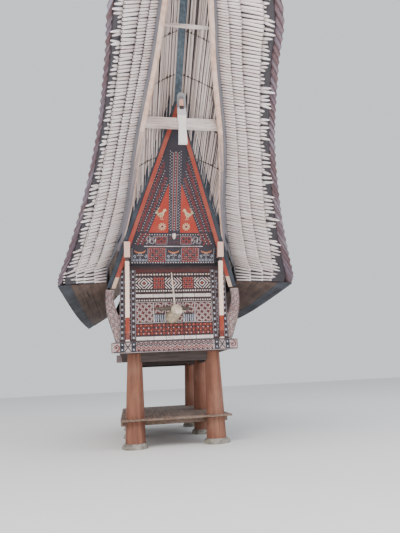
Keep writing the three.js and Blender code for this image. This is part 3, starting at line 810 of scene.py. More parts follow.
@lru_cache(maxsize=None)
def corrugation_tree() -> Tree:
    """Tree that lifts a sheet into waves along its stored travel."""
    tree = Tree("corrugation", {"Pitch": "Float", "Depth": "Float", "Finish": "Material"})
    turns = tree.calc("DIVIDE", tree.named("travel", "FLOAT"), tree.given("Pitch"))
    wave = tree.calc("SINE", tree.calc("MULTIPLY", turns, TURN))
    lift = tree.calc("MULTIPLY", wave, tree.given("Depth"))
    offset = tree.node("ShaderNodeVectorMath", {"Vector": tree.named("outward"), "Scale": lift},
                       operation="SCALE")
    tree.end(tree.node("GeometryNodeSetPosition", {"Geometry": tree.given("Geometry"), "Offset": offset}))
    return tree


class Layout:
    """Places where a motif is repeated, with the direction, facing and size of each copy."""

    def __init__(self) -> None:
        """Starts empty."""
        self.rows: dict[str, list[Point]] = {"point": [], "along": [], "outward": [], "size": []}

    def add(self, point: Point, along: Point, outward: Point, size: Point) -> None:
        """Adds one place."""
        for name, value in zip(self.rows, (point, along, outward, size)):
            self.rows[name].append(tuple(value))

    def mesh(self, name: str) -> Mesh:
        """Points that carry the directions and sizes."""
        mesh = bpy.data.meshes.new(name)
        mesh.from_pydata(self.rows["point"], [], [])
        for key in ("along", "outward", "size"):
            attribute = mesh.attributes.new(key, "FLOAT_VECTOR", "POINT")
            attribute.data.foreach_set("vector", np.array(self.rows[key], np.float32).ravel())
        return mesh

    def grow(self, name: str, motif: Mesh, finish: Any, spread: float, seed: int) -> Piece:
        """Sets the motif on every place.

        Args:
            name: the new piece's name.
            motif: the mesh that is repeated.
            finish: finish of the piece.
            spread: share by which a copy may be shorter.
            seed: seed of the lengths and tones.

        Returns:
            The piece.
        """
        model = bpy.data.objects.new(name + "_motif", motif)
        bpy.context.scene.collection.objects.link(model)
        piece = scatter_tree().grow(
            name, self.mesh(name), Motif=model, Finish=finish_of(finish), Spread=spread, Seed=seed,
        )
        bpy.data.objects.remove(model)
        return piece


class Lines:
    """Lines of edges that are run with a round cane."""

    def __init__(self) -> None:
        """Starts empty."""
        self.points: list[Point] = []
        self.edges: list[tuple[int, int]] = []

    def add(self, path: Path) -> None:
        """Adds one line through points."""
        start = len(self.points)
        self.points.extend(tuple(float(c) for c in p) for p in path)
        self.edges.extend((start + i, start + i + 1) for i in range(len(path) - 1))

    def cane(self, name: str, radius: float, sides: int, finish: Any, seed: int) -> Piece:
        """Runs the cane along every line.

        Args:
            name: the new piece's name.
            radius: radius of the cane.
            sides: sides of its section.
            finish: finish of the piece.
            seed: seed of the tones.

        Returns:
            The piece.
        """
        mesh = bpy.data.meshes.new(name)
        mesh.from_pydata(self.points, self.edges, [])
        return cane_tree().grow(name, mesh, Radius=radius, Sides=sides, Finish=finish_of(finish), Seed=seed)


@dataclass(frozen=True)
class Face:
    """Flat working plane: its origin, the two drawing directions and the way out of it."""

    origin: Vector
    across: Vector
    up: Vector

    @property
    def out(self) -> Vector:
        """Direction out of the plane."""
        return self.across.cross(self.up)

    def at(self, u: float, v: float, w: float = 0.0) -> Vector:
        """Point at a place on the plane and a height out of it."""
        return self.origin + self.across * u + self.up * v + self.out * w

    def turned(self, half_turns: int) -> "Face":
        """The same plane turned about the house's middle by half turns."""
        spin = Matrix.Rotation(math.pi * half_turns, 4, "Z")
        return Face(spin @ self.origin, spin @ self.across, spin @ self.up)


def on_face(mesh: Mesh, face: Face) -> Mesh:
    """Moves a mesh drawn in X, Y and height onto a working plane."""
    matrix = Matrix((face.across, face.up, face.out)).transposed().to_4x4()
    matrix.translation = face.origin
    mesh.transform(matrix)
    return mesh


class Motif(Enum):
    """Common figures of the carving."""

    SQUARE = "square"
    DIAMOND = "diamond"
    CURL = "curl"
    HOOK = "hook"
    CHEVRON = "chevron"
    HORNS = "horns"
    SHIELD = "shield"
    ROOSTER = "rooster"


SQUARE, DIAMOND, CURL, HOOK, CHEVRON, HORNS, SHIELD, ROOSTER = Motif


def diamond(radius: float) -> Path:
    """Corners of a square that stands on its corner."""
    return [(radius, 0.0), (0.0, radius), (-radius, 0.0), (0.0, -radius)]


def closed_line(corners: Path, width: float, shape: Shape) -> None:
    """Adds a raised closed line with sharp corners to a shape."""
    points = np.array(corners, float)
    middle = points.mean(axis=0)
    count = len(points)
    reach = np.linalg.norm(points - middle, axis=1)[:, None]
    inner = middle + (points - middle) * (1.0 - width / reach)
    outer_low, outer_high = [(*p, 0.0) for p in points], [(*p, 1.0) for p in points]
    inner_low, inner_high = [(*p, 0.0) for p in inner], [(*p, 1.0) for p in inner]
    faces = []
    for i in range(count):
        j = (i + 1) % count
        for a, b in ((0, 1), (1, 3), (3, 2), (2, 0)):
            faces.append([a * count + i, a * count + j, b * count + j, b * count + i])
    shape.add(outer_low + outer_high + inner_low + inner_high, faces)


def spiral(turns: float, radius: float, steps: int) -> np.ndarray:
    """Spiral that winds out from its middle to the point (radius, 0), seen from the middle."""
    angles = np.linspace(-turns * TURN, 0.0, steps)
    radii = radius * (0.14 + 0.86 * (1.0 + angles / (turns * TURN)))
    return np.stack([radii * np.cos(angles), radii * np.sin(angles)], axis=1)


def draw_motif(motif: Motif) -> Mesh:
    """Draws one figure, about one unit wide and one unit high off its ground.

    Args:
        motif: the wanted figure.

    Returns:
        Its mesh.
    """
    shape = Shape()
    if motif is SQUARE:
        shape.plate(block(-0.5, 0.5, -0.5, 0.5), 0.0, 1.0, 0.86)
    elif motif is DIAMOND:
        closed_line(diamond(0.5), 0.13, shape)
        closed_line(diamond(0.28), 0.1, shape)
        shape.plate(diamond(0.08), 0.0, 1.0)
    elif motif is CURL:
        left = spiral(1.35, 0.25, 15) - np.array([0.25, 0.0])
        path = np.concatenate([left, -left[-2::-1]])
        shape.strip(path, 0.085 - 0.035 * np.abs(np.linspace(-1.0, 1.0, len(path))))
    elif motif is HOOK:
        path = spiral(1.2, 0.42, 14)
        shape.strip(path, np.linspace(0.07, 0.15, len(path)))
    elif motif is CHEVRON:
        for rise in (-0.28, 0.12):
            shape.strip([(-0.5, rise - 0.1), (0.0, rise + 0.3), (0.5, rise - 0.1)], [0.14, 0.16, 0.14])
    elif motif is HORNS:
        angles = np.linspace(math.pi * 1.06, math.pi * 1.94, 13)
        path = np.stack([0.46 * np.cos(angles), 0.3 + 0.3 * np.sin(angles)], axis=1)
        shape.strip(path, 0.15 - 0.11 * np.abs(np.linspace(-1, 1, len(path))) ** 1.5)
    elif motif is SHIELD:
        right = [(0.22, 0.02), (0.13, 0.0), (0.1, -0.3)]
        left = [(-x, y) for x, y in right[::-1]]
        closed_line([*right, (0.0, -0.5), *left, (0.0, 0.1)], 0.05, shape)
        for side in (-1.0, 1.0):
            shape.plate([(side * 0.06 + x * 0.1, -0.1 + y * 0.1) for x, y in diamond(0.4)], 0.0, 1.0)
            shape.strip([(side * 0.16, -0.08), (side * 0.34, -0.12), (side * 0.4, -0.02)],
                        [0.07, 0.06, 0.03])
    else:
        belly = [(-0.34, 0.02), (-0.2, -0.16), (0.02, -0.18), (0.16, -0.06), (0.2, 0.12), (0.3, 0.26)]
        crest = [(0.4, 0.24), (0.34, 0.34), (0.26, 0.44), (0.14, 0.36), (0.08, 0.2), (-0.08, 0.12)]
        shape.plate(belly + crest, 0.0, 1.0)
        for tail in range(4):
            lift = 0.1 * tail
            path = [(-0.26, 0.04), (-0.42 + 0.03 * tail, 0.1 + lift * 0.6),
                    (-0.46 + 0.1 * tail, 0.2 + lift)]
            shape.strip(path, [0.08, 0.06, 0.03])
        for leg in (-0.06, 0.06):
            shape.strip([(leg, -0.15), (leg, -0.34), (leg + 0.1, -0.38)], [0.04, 0.03, 0.03])
    return shape.mesh(motif.value)


class Carver:
    """Sets carved and painted figures on one working plane and gathers them by figure and paint."""

    sunk: float = 0.001
    block_relief: float = 0.004
    figure_relief: float = 0.006

    def __init__(self, name: str, slot: str, face: Face) -> None:
        """Starts with nothing carved.

        Args:
            name: start of the pieces' names.
            slot: material slot of the pieces.
            face: the plane that the figures stand on.
        """
        self.name = name
        self.slot = slot
        self.face = face
        self.layouts: dict[tuple[Motif, Any], Layout] = {}

    def put(self, motif: Motif, paint: Any, u: float, v: float, size: Span | float, angle: float = 0.0,
            lift: float = 0.0) -> None:
        """Sets one figure.

        Args:
            motif: the figure.
            paint: its finish.
            u: place across.
            v: place up.
            size: width and height, or one value for both.
            angle: turn in degrees.
            lift: height of its foot above the plane.
        """
        width, height = (size, size) if isinstance(size, float) else size
        turn = math.radians(angle)
        along = self.face.across * math.cos(turn) + self.face.up * math.sin(turn)
        relief = self.block_relief if motif is SQUARE else self.figure_relief
        layout = self.layouts.setdefault((motif, paint), Layout())
        layout.add(self.face.at(u, v, lift - self.sunk), along, self.face.out, (width, height, relief))

    def dot(self, paint: Any, u: float, v: float, size: Span | float, lift: float = 0.0) -> None:
        """Sets one block on its corner."""
        self.put(SQUARE, paint, u, v, size, DIAGONAL, lift)

    def bar(self, paint: Any, start: Span, end: Span, width: float, lift: float = 0.0) -> None:
        """Sets one straight raised line between two places."""
        span = math.hypot(end[0] - start[0], end[1] - start[1])
        angle = math.degrees(math.atan2(end[1] - start[1], end[0] - start[0]))
        self.put(SQUARE, paint, (start[0] + end[0]) / 2, (start[1] + end[1]) / 2, (span, width), angle,
                 lift)

    def row(self, motif: Motif, paint: Any, start: Span, end: Span, pitch: float, size: Span | float,
            turn: float = 0.0, sway: float = 0.0, lift: Lift | float = 0.0) -> None:
        """Sets figures evenly along a line.

        Args:
            motif: the figure.
            paint: its finish.
            start: first end of the line.
            end: other end of the line.
            pitch: distance between figures.
            size: size of a figure.
            turn: turn of every figure in degrees.
            sway: further turn of every second figure.
            lift: height of the ground, or a function of the place.
        """
        count = max(1, round(math.hypot(end[0] - start[0], end[1] - start[1]) / pitch))
        for i in range(count):
            share = (i + 0.5) / count
            u = start[0] + (end[0] - start[0]) * share
            v = start[1] + (end[1] - start[1]) * share
            height = lift(u, v) if callable(lift) else lift
            self.put(motif, paint, u, v, size, turn + sway * (i % 2), height)

    def grid(self, motif: Motif, paint: Any, box: Span, pitch: float, size: float, turn: float = 0.0,
             sway: float = 90.0, lift: float = 0.0) -> None:
        """Fills a box, given as left, right, bottom and top, with rows of figures."""
        left, right, bottom, top = box
        rows = max(1, round((top - bottom) / pitch))
        for i in range(rows):
            v = bottom + (top - bottom) * (i + 0.5) / rows
            self.row(motif, paint, (left, v), (right, v), pitch, size, turn + sway * (i % 2), sway, lift)

    def frame(self, paint: Any, box: Span, width: float, lift: float = 0.0) -> None:
        """Sets a raised line round a box."""
        left, right, bottom, top = box
        corners = block(left, right, bottom, top)
        for i in range(4):
            self.bar(paint, corners[i], corners[(i + 1) % 4], width, lift)

    def finish(self) -> None:
        """Grows every layout into its piece."""
        for seed, ((motif, paint), layout) in enumerate(self.layouts.items()):
            name = f"{self.name}_{motif.value}_{paint.name.removesuffix('_paint')}"
            settle(layout.grow(name, draw_motif(motif), paint, 0.0, seed), self.slot)


@dataclass(frozen=True)
class RoofSurface:
    """Straight slopes between a bowed ridge line and a flatter eave line."""

    ridge: float
    ridge_rise: float
    ridge_bow: float
    eave: float
    eave_rise: float
    eave_bow: float
    half_width: float

    def height(self, x: Any, y: Any) -> Any:
        """Height at a distance from the middle plane and a place along the ridge."""
        ridge = self.ridge + self.ridge_rise * (np.hypot(y, self.ridge_bow) - self.ridge_bow)
        eave = self.eave + self.eave_rise * (np.hypot(y, self.eave_bow) - self.eave_bow)
        return ridge + (eave - ridge) * x / self.half_width

    def normal(self, x: float, y: float) -> np.ndarray:
        """Unit normal, pointing up and out."""
        step = 0.001
        here = self.height(x, y)
        normal = np.array([here - self.height(x + step, y), here - self.height(x, y + step), step])
        return normal / np.linalg.norm(normal)


class PlanCurve:
    """Smooth curve through points of a plan, with even weight by distance between them."""

    def __init__(self, points: Path) -> None:
        """Keeps the points with one more point beyond each end."""
        inner = np.array(points, float)
        before = 2 * inner[0] - inner[1]
        after = 2 * inner[-1] - inner[-2]
        self.points = np.vstack([before, inner, after])
        self.spans = len(inner) - 1

    def at(self, t: float) -> np.ndarray:
        """Point at a share from 0 to 1 of the curve."""
        place = min(t * self.spans, self.spans - 1e-9)
        start = int(place)
        weight = place - start
        p0, p1, p2, p3 = self.points[start:start + 4]
        gaps = [math.sqrt(np.linalg.norm(b - a)) for a, b in ((p0, p1), (p1, p2), (p2, p3))]
        leave = (p1 - p0) / gaps[0] - (p2 - p0) / (gaps[0] + gaps[1]) + (p2 - p1) / gaps[1]
        arrive = (p2 - p1) / gaps[1] - (p3 - p1) / (gaps[1] + gaps[2]) + (p3 - p2) / gaps[2]
        leave, arrive = leave * gaps[1], arrive * gaps[1]
        square = (3 * (p2 - p1) - 2 * leave - arrive) * weight ** 2
        cube = (2 * (p1 - p2) + leave + arrive) * weight ** 3
        return p1 + leave * weight + square + cube


UNDER = RoofSurface(5.1, 0.79, 2.0, 3.24, 0.085, 2.5, 2.25)
TOP = RoofSurface(5.85, 0.84, 2.0, 3.304, 0.0524, 2.5, 2.48)
INNER_VERGE = PlanCurve([
    (1.56, 2.42), (1.545, 2.33), (1.392, 2.519), (1.08, 3.555), (0.863, 4.896),
    (0.578, 5.889), (0.45, 6.551), (0.265, 7.117), (0.0, 7.35),
])
OUTER_VERGE = PlanCurve([
    (2.48, 3.76), (2.43, 4.0), (2.3, 4.23), (1.959, 4.885), (1.615, 5.804),
    (1.42, 6.813), (1.321, 7.473), (0.968, 7.873), (0.0, 7.9),
])
VERGE_SHARES = np.linspace(0.0, 1.0, 241)
SIDES = ((1, "right"), (-1, "left"))
QUARTERS = [(x, y) for x in (1, -1) for y in (-1, 1)]
NEAR_MIDDLE = 0.012


@dataclass(frozen=True)
class Soffit:
    """Drop from the slope to the nearly level soffit, where the culm layers thin out."""

    start: float = 1.545
    end: float = 1.56
    rise: float = 0.39
    least_layers: float = 0.15
    full_layers_from: float = 0.25


SOFFIT = Soffit()


def underside(x: float, y: Any) -> Any:
    """Height of the roof's underside: the slope, and the nearly level soffit outside it."""
    sloping = UNDER.height(min(x, SOFFIT.start), y)
    level = UNDER.height(UNDER.half_width, y) + SOFFIT.rise
    share = min(max((x - SOFFIT.start) / (SOFFIT.end - SOFFIT.start), 0.0), 1.0)
    return sloping + (level - sloping) * share


def inner_reach(x: float) -> float:
    """Distance of the inner verge from the middle of the ridge, at a distance from the middle plane."""
    plan = np.array([INNER_VERGE.at(t) for t in VERGE_SHARES[::-1]])
    return float(np.interp(x, plan[:, 0], plan[:, 1]))


@dataclass(frozen=True)
class CulmLayer:
    """One layer of culms that shows along the verge.

    The reach is a share of the way from the inner to the outer verge, at the eave corner, above it
    and at the tip.
    """

    level: float
    reach: tuple[float, float, float]
    pitch: float
    ragged: bool = False

    def reach_at(self, t: float) -> float:
        """Reach at a share of the verge."""
        return float(np.interp(t, (0.0, 0.3, 1.0), self.reach))


@dataclass
class Roof:
    """Saddle roof: core, lining, culms at the ends, soffit boards and the corrugated cover."""

    thickness: float = 0.38
    thickness_share: float = 0.95
    fade_width: float = 0.578
    layers: tuple[CulmLayer, ...] = (
        CulmLayer(0.2, (0.28, 0.33, 0.12), 0.040),
        CulmLayer(0.4, (0.50, 0.53, 0.30), 0.047),
        CulmLayer(0.6, (0.64, 0.73, 0.73), 0.054),
        CulmLayer(0.8, (0.78, 0.84, 0.84), 0.058, True),
    )
    spread: tuple[tuple[float, ...], ...] = ((0.0, 0.35, 0.5, 0.65, 1.0), (1.5, 1.5, 1.28, 1.08, 1.08))
    culm_fill: float = 0.405
    layer_fill: float = 0.34
    overlap: float = 0.16
    core_setback: float = 0.05
    core_behind: float = 0.09
    core_end: float = 0.86
    band_thickness: float = 0.03
    lath_pitch: float = 0.024
    lath_radius: float = 0.0225
    lath_wave: float = 0.004
    loose_laths: int = 46
    lashing_rows: tuple[float, ...] = (3.43, 4.15, 4.87, 5.54, 6.2)
    sheet_pitch: float = 0.11
    sheet_depth: float = 0.012
    sheet_drop: float = 0.026
    sheet_edge: float = 0.016
    course: float = 0.85
    board_edges: tuple[float, ...] = (0.0, 0.19, 0.38, 0.565, 0.745)
    board_gap: float = 0.006
    cap_end: float = 7.88

    def section(self, t: float) -> tuple[np.ndarray, np.ndarray, np.ndarray]:
        """Inner corner, riser and tread of the stepped end at a share of the verge."""
        x, y = INNER_VERGE.at(t)
        low = np.array([x, y, underside(x, y)])
        ox, oy = OUTER_VERGE.at(t)
        high = np.array([ox, oy, TOP.height(ox, oy)])
        riser = UNDER.normal(x, y)
        between = TOP.height(x, y) - UNDER.height(x, y)
        thickness = min(self.thickness, between * riser[2] * self.thickness_share)
        riser *= thickness * min(max(t / SOFFIT.full_layers_from, SOFFIT.least_layers), 1.0)
        riser[0] *= min(1.0, x / self.fade_width)
        return low, riser, high - low - riser

    def core_steps(self, t: float) -> list[np.ndarray]:
        """Corners of the core's stepped end, which lies behind the culms' middles."""
        low, riser, tread = self.section(t)
        back = self.core_setback / max(np.linalg.norm(tread), 0.2)
        corners = [low + riser * 0.02]
        start = 0.0
        for layer in self.layers:
            level = riser * (layer.level + self.core_behind)
            end = layer.reach_at(t) - back if not layer.ragged else self.core_end
            corners += [low + tread * start + level, low + tread * end + level]
            start = end
        return corners + [low + tread * start + riser * 0.97]

    def core(self) -> None:
        """Stepped body inside both slopes, painted dark as the shade that shows between the culms."""
        across, over_lining, under_cover, least = 21, 0.038, 0.06, 0.001
        for side, word in SIDES:
            rings = []
            for t in np.linspace(1.0, 0.0, 49):
                steps = self.core_steps(t)
                base, end = steps[0], steps[-1]
                below = np.linspace(-base[1], base[1], across)[1:-1]
                above = np.linspace(end[1], -end[1], across)[1:-1]
                under = [(base[0], y, underside(base[0], y) + over_lining) for y in below]
                over = [(end[0], y, TOP.height(end[0], y) - under_cover) for y in above]
                mirrored = [(p[0], -p[1], p[2]) for p in reversed(steps)]
                ring = np.array([*under, *steps, *over, *mirrored])
                ring[:, 0] = side * np.maximum(ring[:, 0], least)
                rings.append(ring)
            shape = Shape()
            shape.rings(rings)
            shape.settle(f"roof_core_{word}", SHADE_DARK_CORE, "bamboo", f"roof_slope_{word}")

    def culm(self, pointed: bool) -> Mesh:
        """Culm of unit length and radius, its end at the origin and its body along -X.

        Args:
            pointed: whether the end is split to a point instead of cut square and hollow.

        Returns:
            The culm's mesh, with its length stored as grain, along which the bamboo finish paints shade
            towards the inner end.
        """
        sides = 8
        square_end = [(-0.1, 0.0), (-0.1, 0.6), (0.0, 0.64), (0.0, 0.93), (-0.02, 1.0), (-1.0, 1.0),
                      (-1.0, 0.0)]
        split_end = [(0.0, 0.0), (0.0, 0.3), (-0.16, 0.66), (-0.5, 0.96), (-1.0, 1.0), (-1.0, 0.0)]
        profile = split_end if pointed else square_end
        count = len(profile)
        turns = [TURN * (i + 0.5) / sides for i in range(sides)]
        faces = []
        for i in range(sides):
            a, b = i * count, (i + 1) % sides * count
            faces += [[a + k, a + k + 1, b + k + 1, b + k] for k in range(count - 1)]
        shape = Shape()
        shape.add([(x, r * math.cos(turn), r * math.sin(turn)) for turn in turns for x, r in profile],
                  faces)
        mesh = shape.mesh("culm", 50, weld=True)
        # grain holds the distance from the culm's end; the bamboo finish turns it into painted shade
        # towards the inner end
        grain = mesh.attributes.new("grain", "FLOAT", "POINT")
        grain.data.foreach_set("value", np.array([-v.co.x for v in mesh.vertices], np.float32))
        return mesh

    def ragged_ends(self, count: int, random: np.random.Generator) -> list[float]:
        """Change of reach of each culm of the outermost layer: long groups between broken stubs."""
        ends: list[float] = []
        while len(ends) < count:
            group = random.uniform(-0.02, 0.075)
            ends += [group + random.normal(0.0, 0.02) for _ in range(random.integers(3, 7))]
            ends += [random.uniform(-0.1, -0.05) for _ in range(random.integers(1, 5))]
        return ends[:count]

    def culms(self) -> None:
        """Layers of culms that step out at the four verges."""
        random = np.random.default_rng(11)
        sections = [self.section(t) for t in VERGE_SHARES]
        for number, layer in enumerate(self.layers):
            layout = Layout()
            edge = np.array([
                low + riser * layer.level + tread * layer.reach_at(t)
                for t, (low, riser, tread) in zip(VERGE_SHARES, sections)
            ])
            run = travelled(np.linalg.norm(np.diff(edge, axis=0), axis=1))
            pitch = layer.pitch * np.interp(VERGE_SHARES, *self.spread)
            counted = travelled(np.diff(run) / pitch[1:])
            places = np.arange(0.5, counted[-1])
            shares = np.interp(places, counted, VERGE_SHARES)
            for quarter in QUARTERS:
                ends = self.ragged_ends(len(places), random) if layer.ragged else [0.0] * len(places)
                for t, change in zip(shares, ends):
                    self.place_culm(layout, number, float(t), change, quarter, random)
            finish = RAGGED_CULM if layer.ragged else CULM
            settle(layout.grow(f"verge_culms_{number + 1}", self.culm(layer.ragged), finish, 0.02, number),
                   "bamboo")

    def place_culm(self, layout: Layout, number: int, t: float, change: float, quarter: Sequence[int],
                   random: np.random.Generator) -> None:
        """Adds one culm of a layer.

        Args:
            layout: the layer's places.
            number: the layer's number.
            t: share of the verge.
            change: change of the layer's reach.
            quarter: signs of X and Y of the verge.
            random: source of the small differences.
        """
        layer, below = self.layers[number], self.layers[number - 1]
        hidden, inner = (self.overlap, below.reach_at(t)) if number else (-0.015, 0.0)
        reach = layer.reach_at(t) + change
        mirror = np.array([*quarter, 1.0])
        low, riser, tread = self.section(t)
        span, rise = float(np.linalg.norm(tread)), float(np.linalg.norm(riser))
        along, upward = tread / span, riser / rise
        pitch = layer.pitch * float(np.interp(t, *self.spread))
        radius = pitch * self.culm_fill * random.uniform(0.93, 1.04)
        thick = radius if layer.ragged else max(radius * 0.9, rise * self.layers[0].level * self.layer_fill)
        back = random.uniform(0.0, 0.008)
        point = low + riser * layer.level + upward * thick + along * (span * reach - back)
        sway = np.cross(upward, along) * random.normal(0.0, 0.06 if layer.ragged else 0.012)
        point[0] = max(point[0], 0.03)
        length = max(span * (reach - inner), 0.05) + hidden
        layout.add(point * mirror, (along + sway) * mirror, -riser * mirror, (length, radius, thick))

    def verge_band(self) -> None:
        """Slate-coloured boards on the first riser, between the verge board and the culms, as painted shade
        of that riser.
        """
        out, least = self.band_thickness, 0.004
        for side, word in SIDES:
            shape = Shape()
            for end in HANDS:
                rings = []
                for t in np.linspace(0.1, 1.0, 73):
                    low, riser, tread = self.section(t)
                    along = tread / np.linalg.norm(tread)
                    foot = low - riser * 0.01
                    head = low + riser * self.layers[0].level
                    ring = np.array([foot, head, head + along * out,
                                     foot + along * out]) - along * 0.5 * out
                    ring[:, 0] = np.maximum(ring[:, 0], least)
                    rings.append(ring * np.array([side, end, 1.0]))
                shape.rings(rings)
            shape.settle(f"verge_band_{word}", RISER_SHADE_PAINT, "dark_paint", smooth=40)

    def lining(self) -> None:
        """Laths along the underside between the verges, with a few that slipped askew."""
        random = np.random.default_rng(5)
        for side, word in SIDES:
            laths, loose = Lines(), Lines()
            for x in np.arange(0.02, SOFFIT.start, self.lath_pitch):
                slip = random.normal(0.0, 0.004)
                ends = (x, x + slip)
                self.lath(laths, side, ends, inner_reach(x) - 0.045, random.uniform(0.0, 0.011), random)
            piece = laths.cane(f"roof_lining_{word}", self.lath_radius, 5, LATH, 3 + side)
            piece.data.shade_smooth()
            settle(piece, "bamboo")
            for x in random.uniform(0.1, 1.05, self.loose_laths):
                drift = random.uniform(-0.2, 0.2)
                reach = inner_reach(max(x, x + drift) + 0.04) - 0.06
                self.lath(loose, side, (x, max(x + drift, 0.06)), reach, -0.04, random)
            settle(loose.cane(f"loose_laths_{word}", self.lath_radius * 0.5, 5, LOOSE_LATH, 7 + side),
                   "bamboo")

    def lath(self, laths: Lines, side: int, ends: Span, reach: float, sink: float,
             random: np.random.Generator) -> None:
        """Adds the line of one lath.

        Args:
            laths: the gathered lines.
            side: 1 for the right slope and -1 for the left.
            ends: distance from the middle plane at the front end and at the back end.
            reach: distance of both ends from the middle of the ridge.
            sink: extra height into the roof.
            random: source of the slight wave.
        """
        steps = max(12, round(reach * 6))
        phase = random.uniform(0.0, TURN)
        depth = self.lath_radius + 0.004 + sink
        path = []
        for share, y in zip(np.linspace(0.0, 1.0, steps), np.linspace(-reach, reach, steps)):
            x = ends[0] + (ends[1] - ends[0]) * share + self.lath_wave * math.sin(1.7 * y + phase)
            x = max(x, NEAR_MIDDLE)
            point = np.array([x, y, UNDER.height(x, y)]) + UNDER.normal(x, y) * depth
            path.append((side * max(point[0], NEAR_MIDDLE), point[1], point[2]))
        laths.add(path)

    def lashings(self) -> None:
        """Slanted poles across the laths, and the cane wraps that bind them."""
        poles, wraps = Lines(), Lines()
        first, pole_drop, wrap_pitch, half, clear = 0.09, 0.02, 0.042, 0.026, 0.004
        turns = [(-half, 0.0), (-0.5 * half, 0.024), (0.5 * half, 0.03), (half, 0.0)]
        for row in self.lashing_rows:
            last = max(x for x in np.arange(first, SOFFIT.start, 0.01) if row + x < inner_reach(x) - 0.04)
            for side, end in QUARTERS:
                place = lambda x, y, drop: np.array([side * x, end * y, UNDER.height(x, y) - drop])
                poles.add([place(x, row + x, pole_drop) for x in np.linspace(first, last, 24)])
                for x in np.arange(0.1, last, wrap_pitch):
                    wraps.add([place(x + step * 0.3, row + x + step, drop + clear) for step, drop in turns])
        settle(poles.cane("lining_poles", 0.016, 6, LASHING, 9), "bamboo")
        settle(wraps.cane("lining_lashings", 0.008, 5, WRAP, 10), "bamboo")

    def soffit_point(self, share: float, width_share: float) -> np.ndarray:
        """Point on the right soffit.

        Args:
            share: from -1 at the front end to 1 at the back end.
            width_share: from 0 at the inner edge to 1 at the eave.

        Returns:
            The point.
        """
        sheet_room = 0.05
        inner, outer = INNER_VERGE.at(0.0), OUTER_VERGE.at(0.0)
        x, reach = inner + (outer - inner) * width_share
        low = underside(inner[0], inner[1] * share)
        high = TOP.height(outer[0], outer[1] * share)
        return np.array([x, reach * share, low + (high - low - sheet_room) * width_share])

    def soffit(self) -> None:
        """Boards under each eave, and the slate strip between them and the sheet's edge, dark as painted
        shade of the eave's end face.
        """
        edges, outer_edge, strip_lift = self.board_edges, 0.99, 0.012
        boards = [(a, b, 0.0) for a, b in zip(edges[:-1], edges[1:])]
        strip = [(edges[-1], outer_edge, strip_lift)]
        for side, word in SIDES:
            for name, finish, spans in (("soffit_boards", SOFFIT_WOOD, boards),
                                        ("eave_strip", EAVE_SHADE_WOOD, strip)):
                shape = Shape()
                for start, end, lift in spans:
                    shape.rings([self.board_ring(share, start, end, lift,
                                                 side) for share in np.linspace(-1.0, 1.0, 41)])
                shape.settle(f"{name}_{word}", finish, "dark_timber", smooth=40)

    def board_ring(self, share: float, start: float, end: float, lift: float, side: int) -> np.ndarray:
        """Section of one soffit board between two width shares."""
        thick = np.array([0.0, 0.0, 0.022])
        inner = self.soffit_point(share, start) + np.array([self.board_gap / 2, 0.0, lift])
        outer = self.soffit_point(share, end) + np.array([-self.board_gap / 2, 0.0, lift])
        return np.array([inner, outer, outer + thick, inner + thick]) * np.array([side, 1.0, 1.0])

    def cover(self) -> None:
        """Corrugated sheets in courses down each slope, and the folded cap on the ridge."""
        outline = np.array([OUTER_VERGE.at(t) for t in np.linspace(0.0, 1.0, 401)])
        reach = float(outline[-1, 1]) - 0.004
        fine, middle_x, points_per_wave = np.linspace(-reach, reach, 4001), 1.2, 8
        run = travelled(np.hypot(np.diff(fine), np.diff(TOP.height(middle_x, fine))))
        travel = np.linspace(0.0, run[-1], int(run[-1] / self.sheet_pitch * points_per_wave))
        ys = np.interp(travel, run, fine)
        limits = np.interp(np.abs(ys), outline[:, 1], outline[:, 0], left=outline[0, 0]) - self.sheet_edge
        for side, word in SIDES:
            settle(self.sheets(f"roof_cover_{word}", side, list(zip(travel, ys, limits))), "bamboo")
        self.ridge_cap()

    def sheets(self, name: str, side: int, columns: Sequence[Point]) -> Piece:
        """Courses of sheet down one slope, each lapped under the one above it.

        Args:
            name: the piece's name.
            side: 1 for the right slope and -1 for the left.
            columns: distance travelled,
            place along the ridge and limit from the middle plane of each column.

        Returns:
            The finished sheets.
        """
        lap, lap_drop, droop, least = 0.05, 0.004, 0.008, 0.002
        points, outward, trips, faces = [], [], [], []
        widest = max(limit for _, _, limit in columns)
        for number, first in enumerate(np.arange(0.0, float(widest), self.course)):
            before = None
            for trip, y, limit in columns:
                if limit <= first + 0.01:
                    before = None
                    continue
                last = min(first + self.course + lap, limit)
                for x in (max(first, least), last):
                    drop = -self.sheet_drop - lap_drop * number + (droop if x == last else 0.0)
                    points.append((side * x, y, TOP.height(x, y) + drop))
                    outward.append(TOP.normal(x, y) * np.array([side, 1, 1]))
                    trips.append(trip)
                here = len(points) - 2
                if before is not None:
                    faces.append([before, before + 1, here + 1, here])
                before = here
        mesh = bpy.data.meshes.new(name)
        mesh.from_pydata(points, [], faces)
        directions = np.array(outward, np.float32).ravel()
        mesh.attributes.new("outward", "FLOAT_VECTOR", "POINT").data.foreach_set("vector", directions)
        mesh.attributes.new("travel", "FLOAT", "POINT").data.foreach_set("value",
                                                                         np.array(trips, np.float32))
        waves = {"Pitch": self.sheet_pitch, "Depth": self.sheet_depth, "Finish": finish_of(SHEET)}
        piece = corrugation_tree().grow(name, mesh, **waves)
        piece.modifiers.new("thick", "SOLIDIFY").thickness = 0.003
        baked(piece)
        piece.data.shade_smooth()
        piece.data.set_sharp_from_angle(angle=math.radians(60))
        return piece

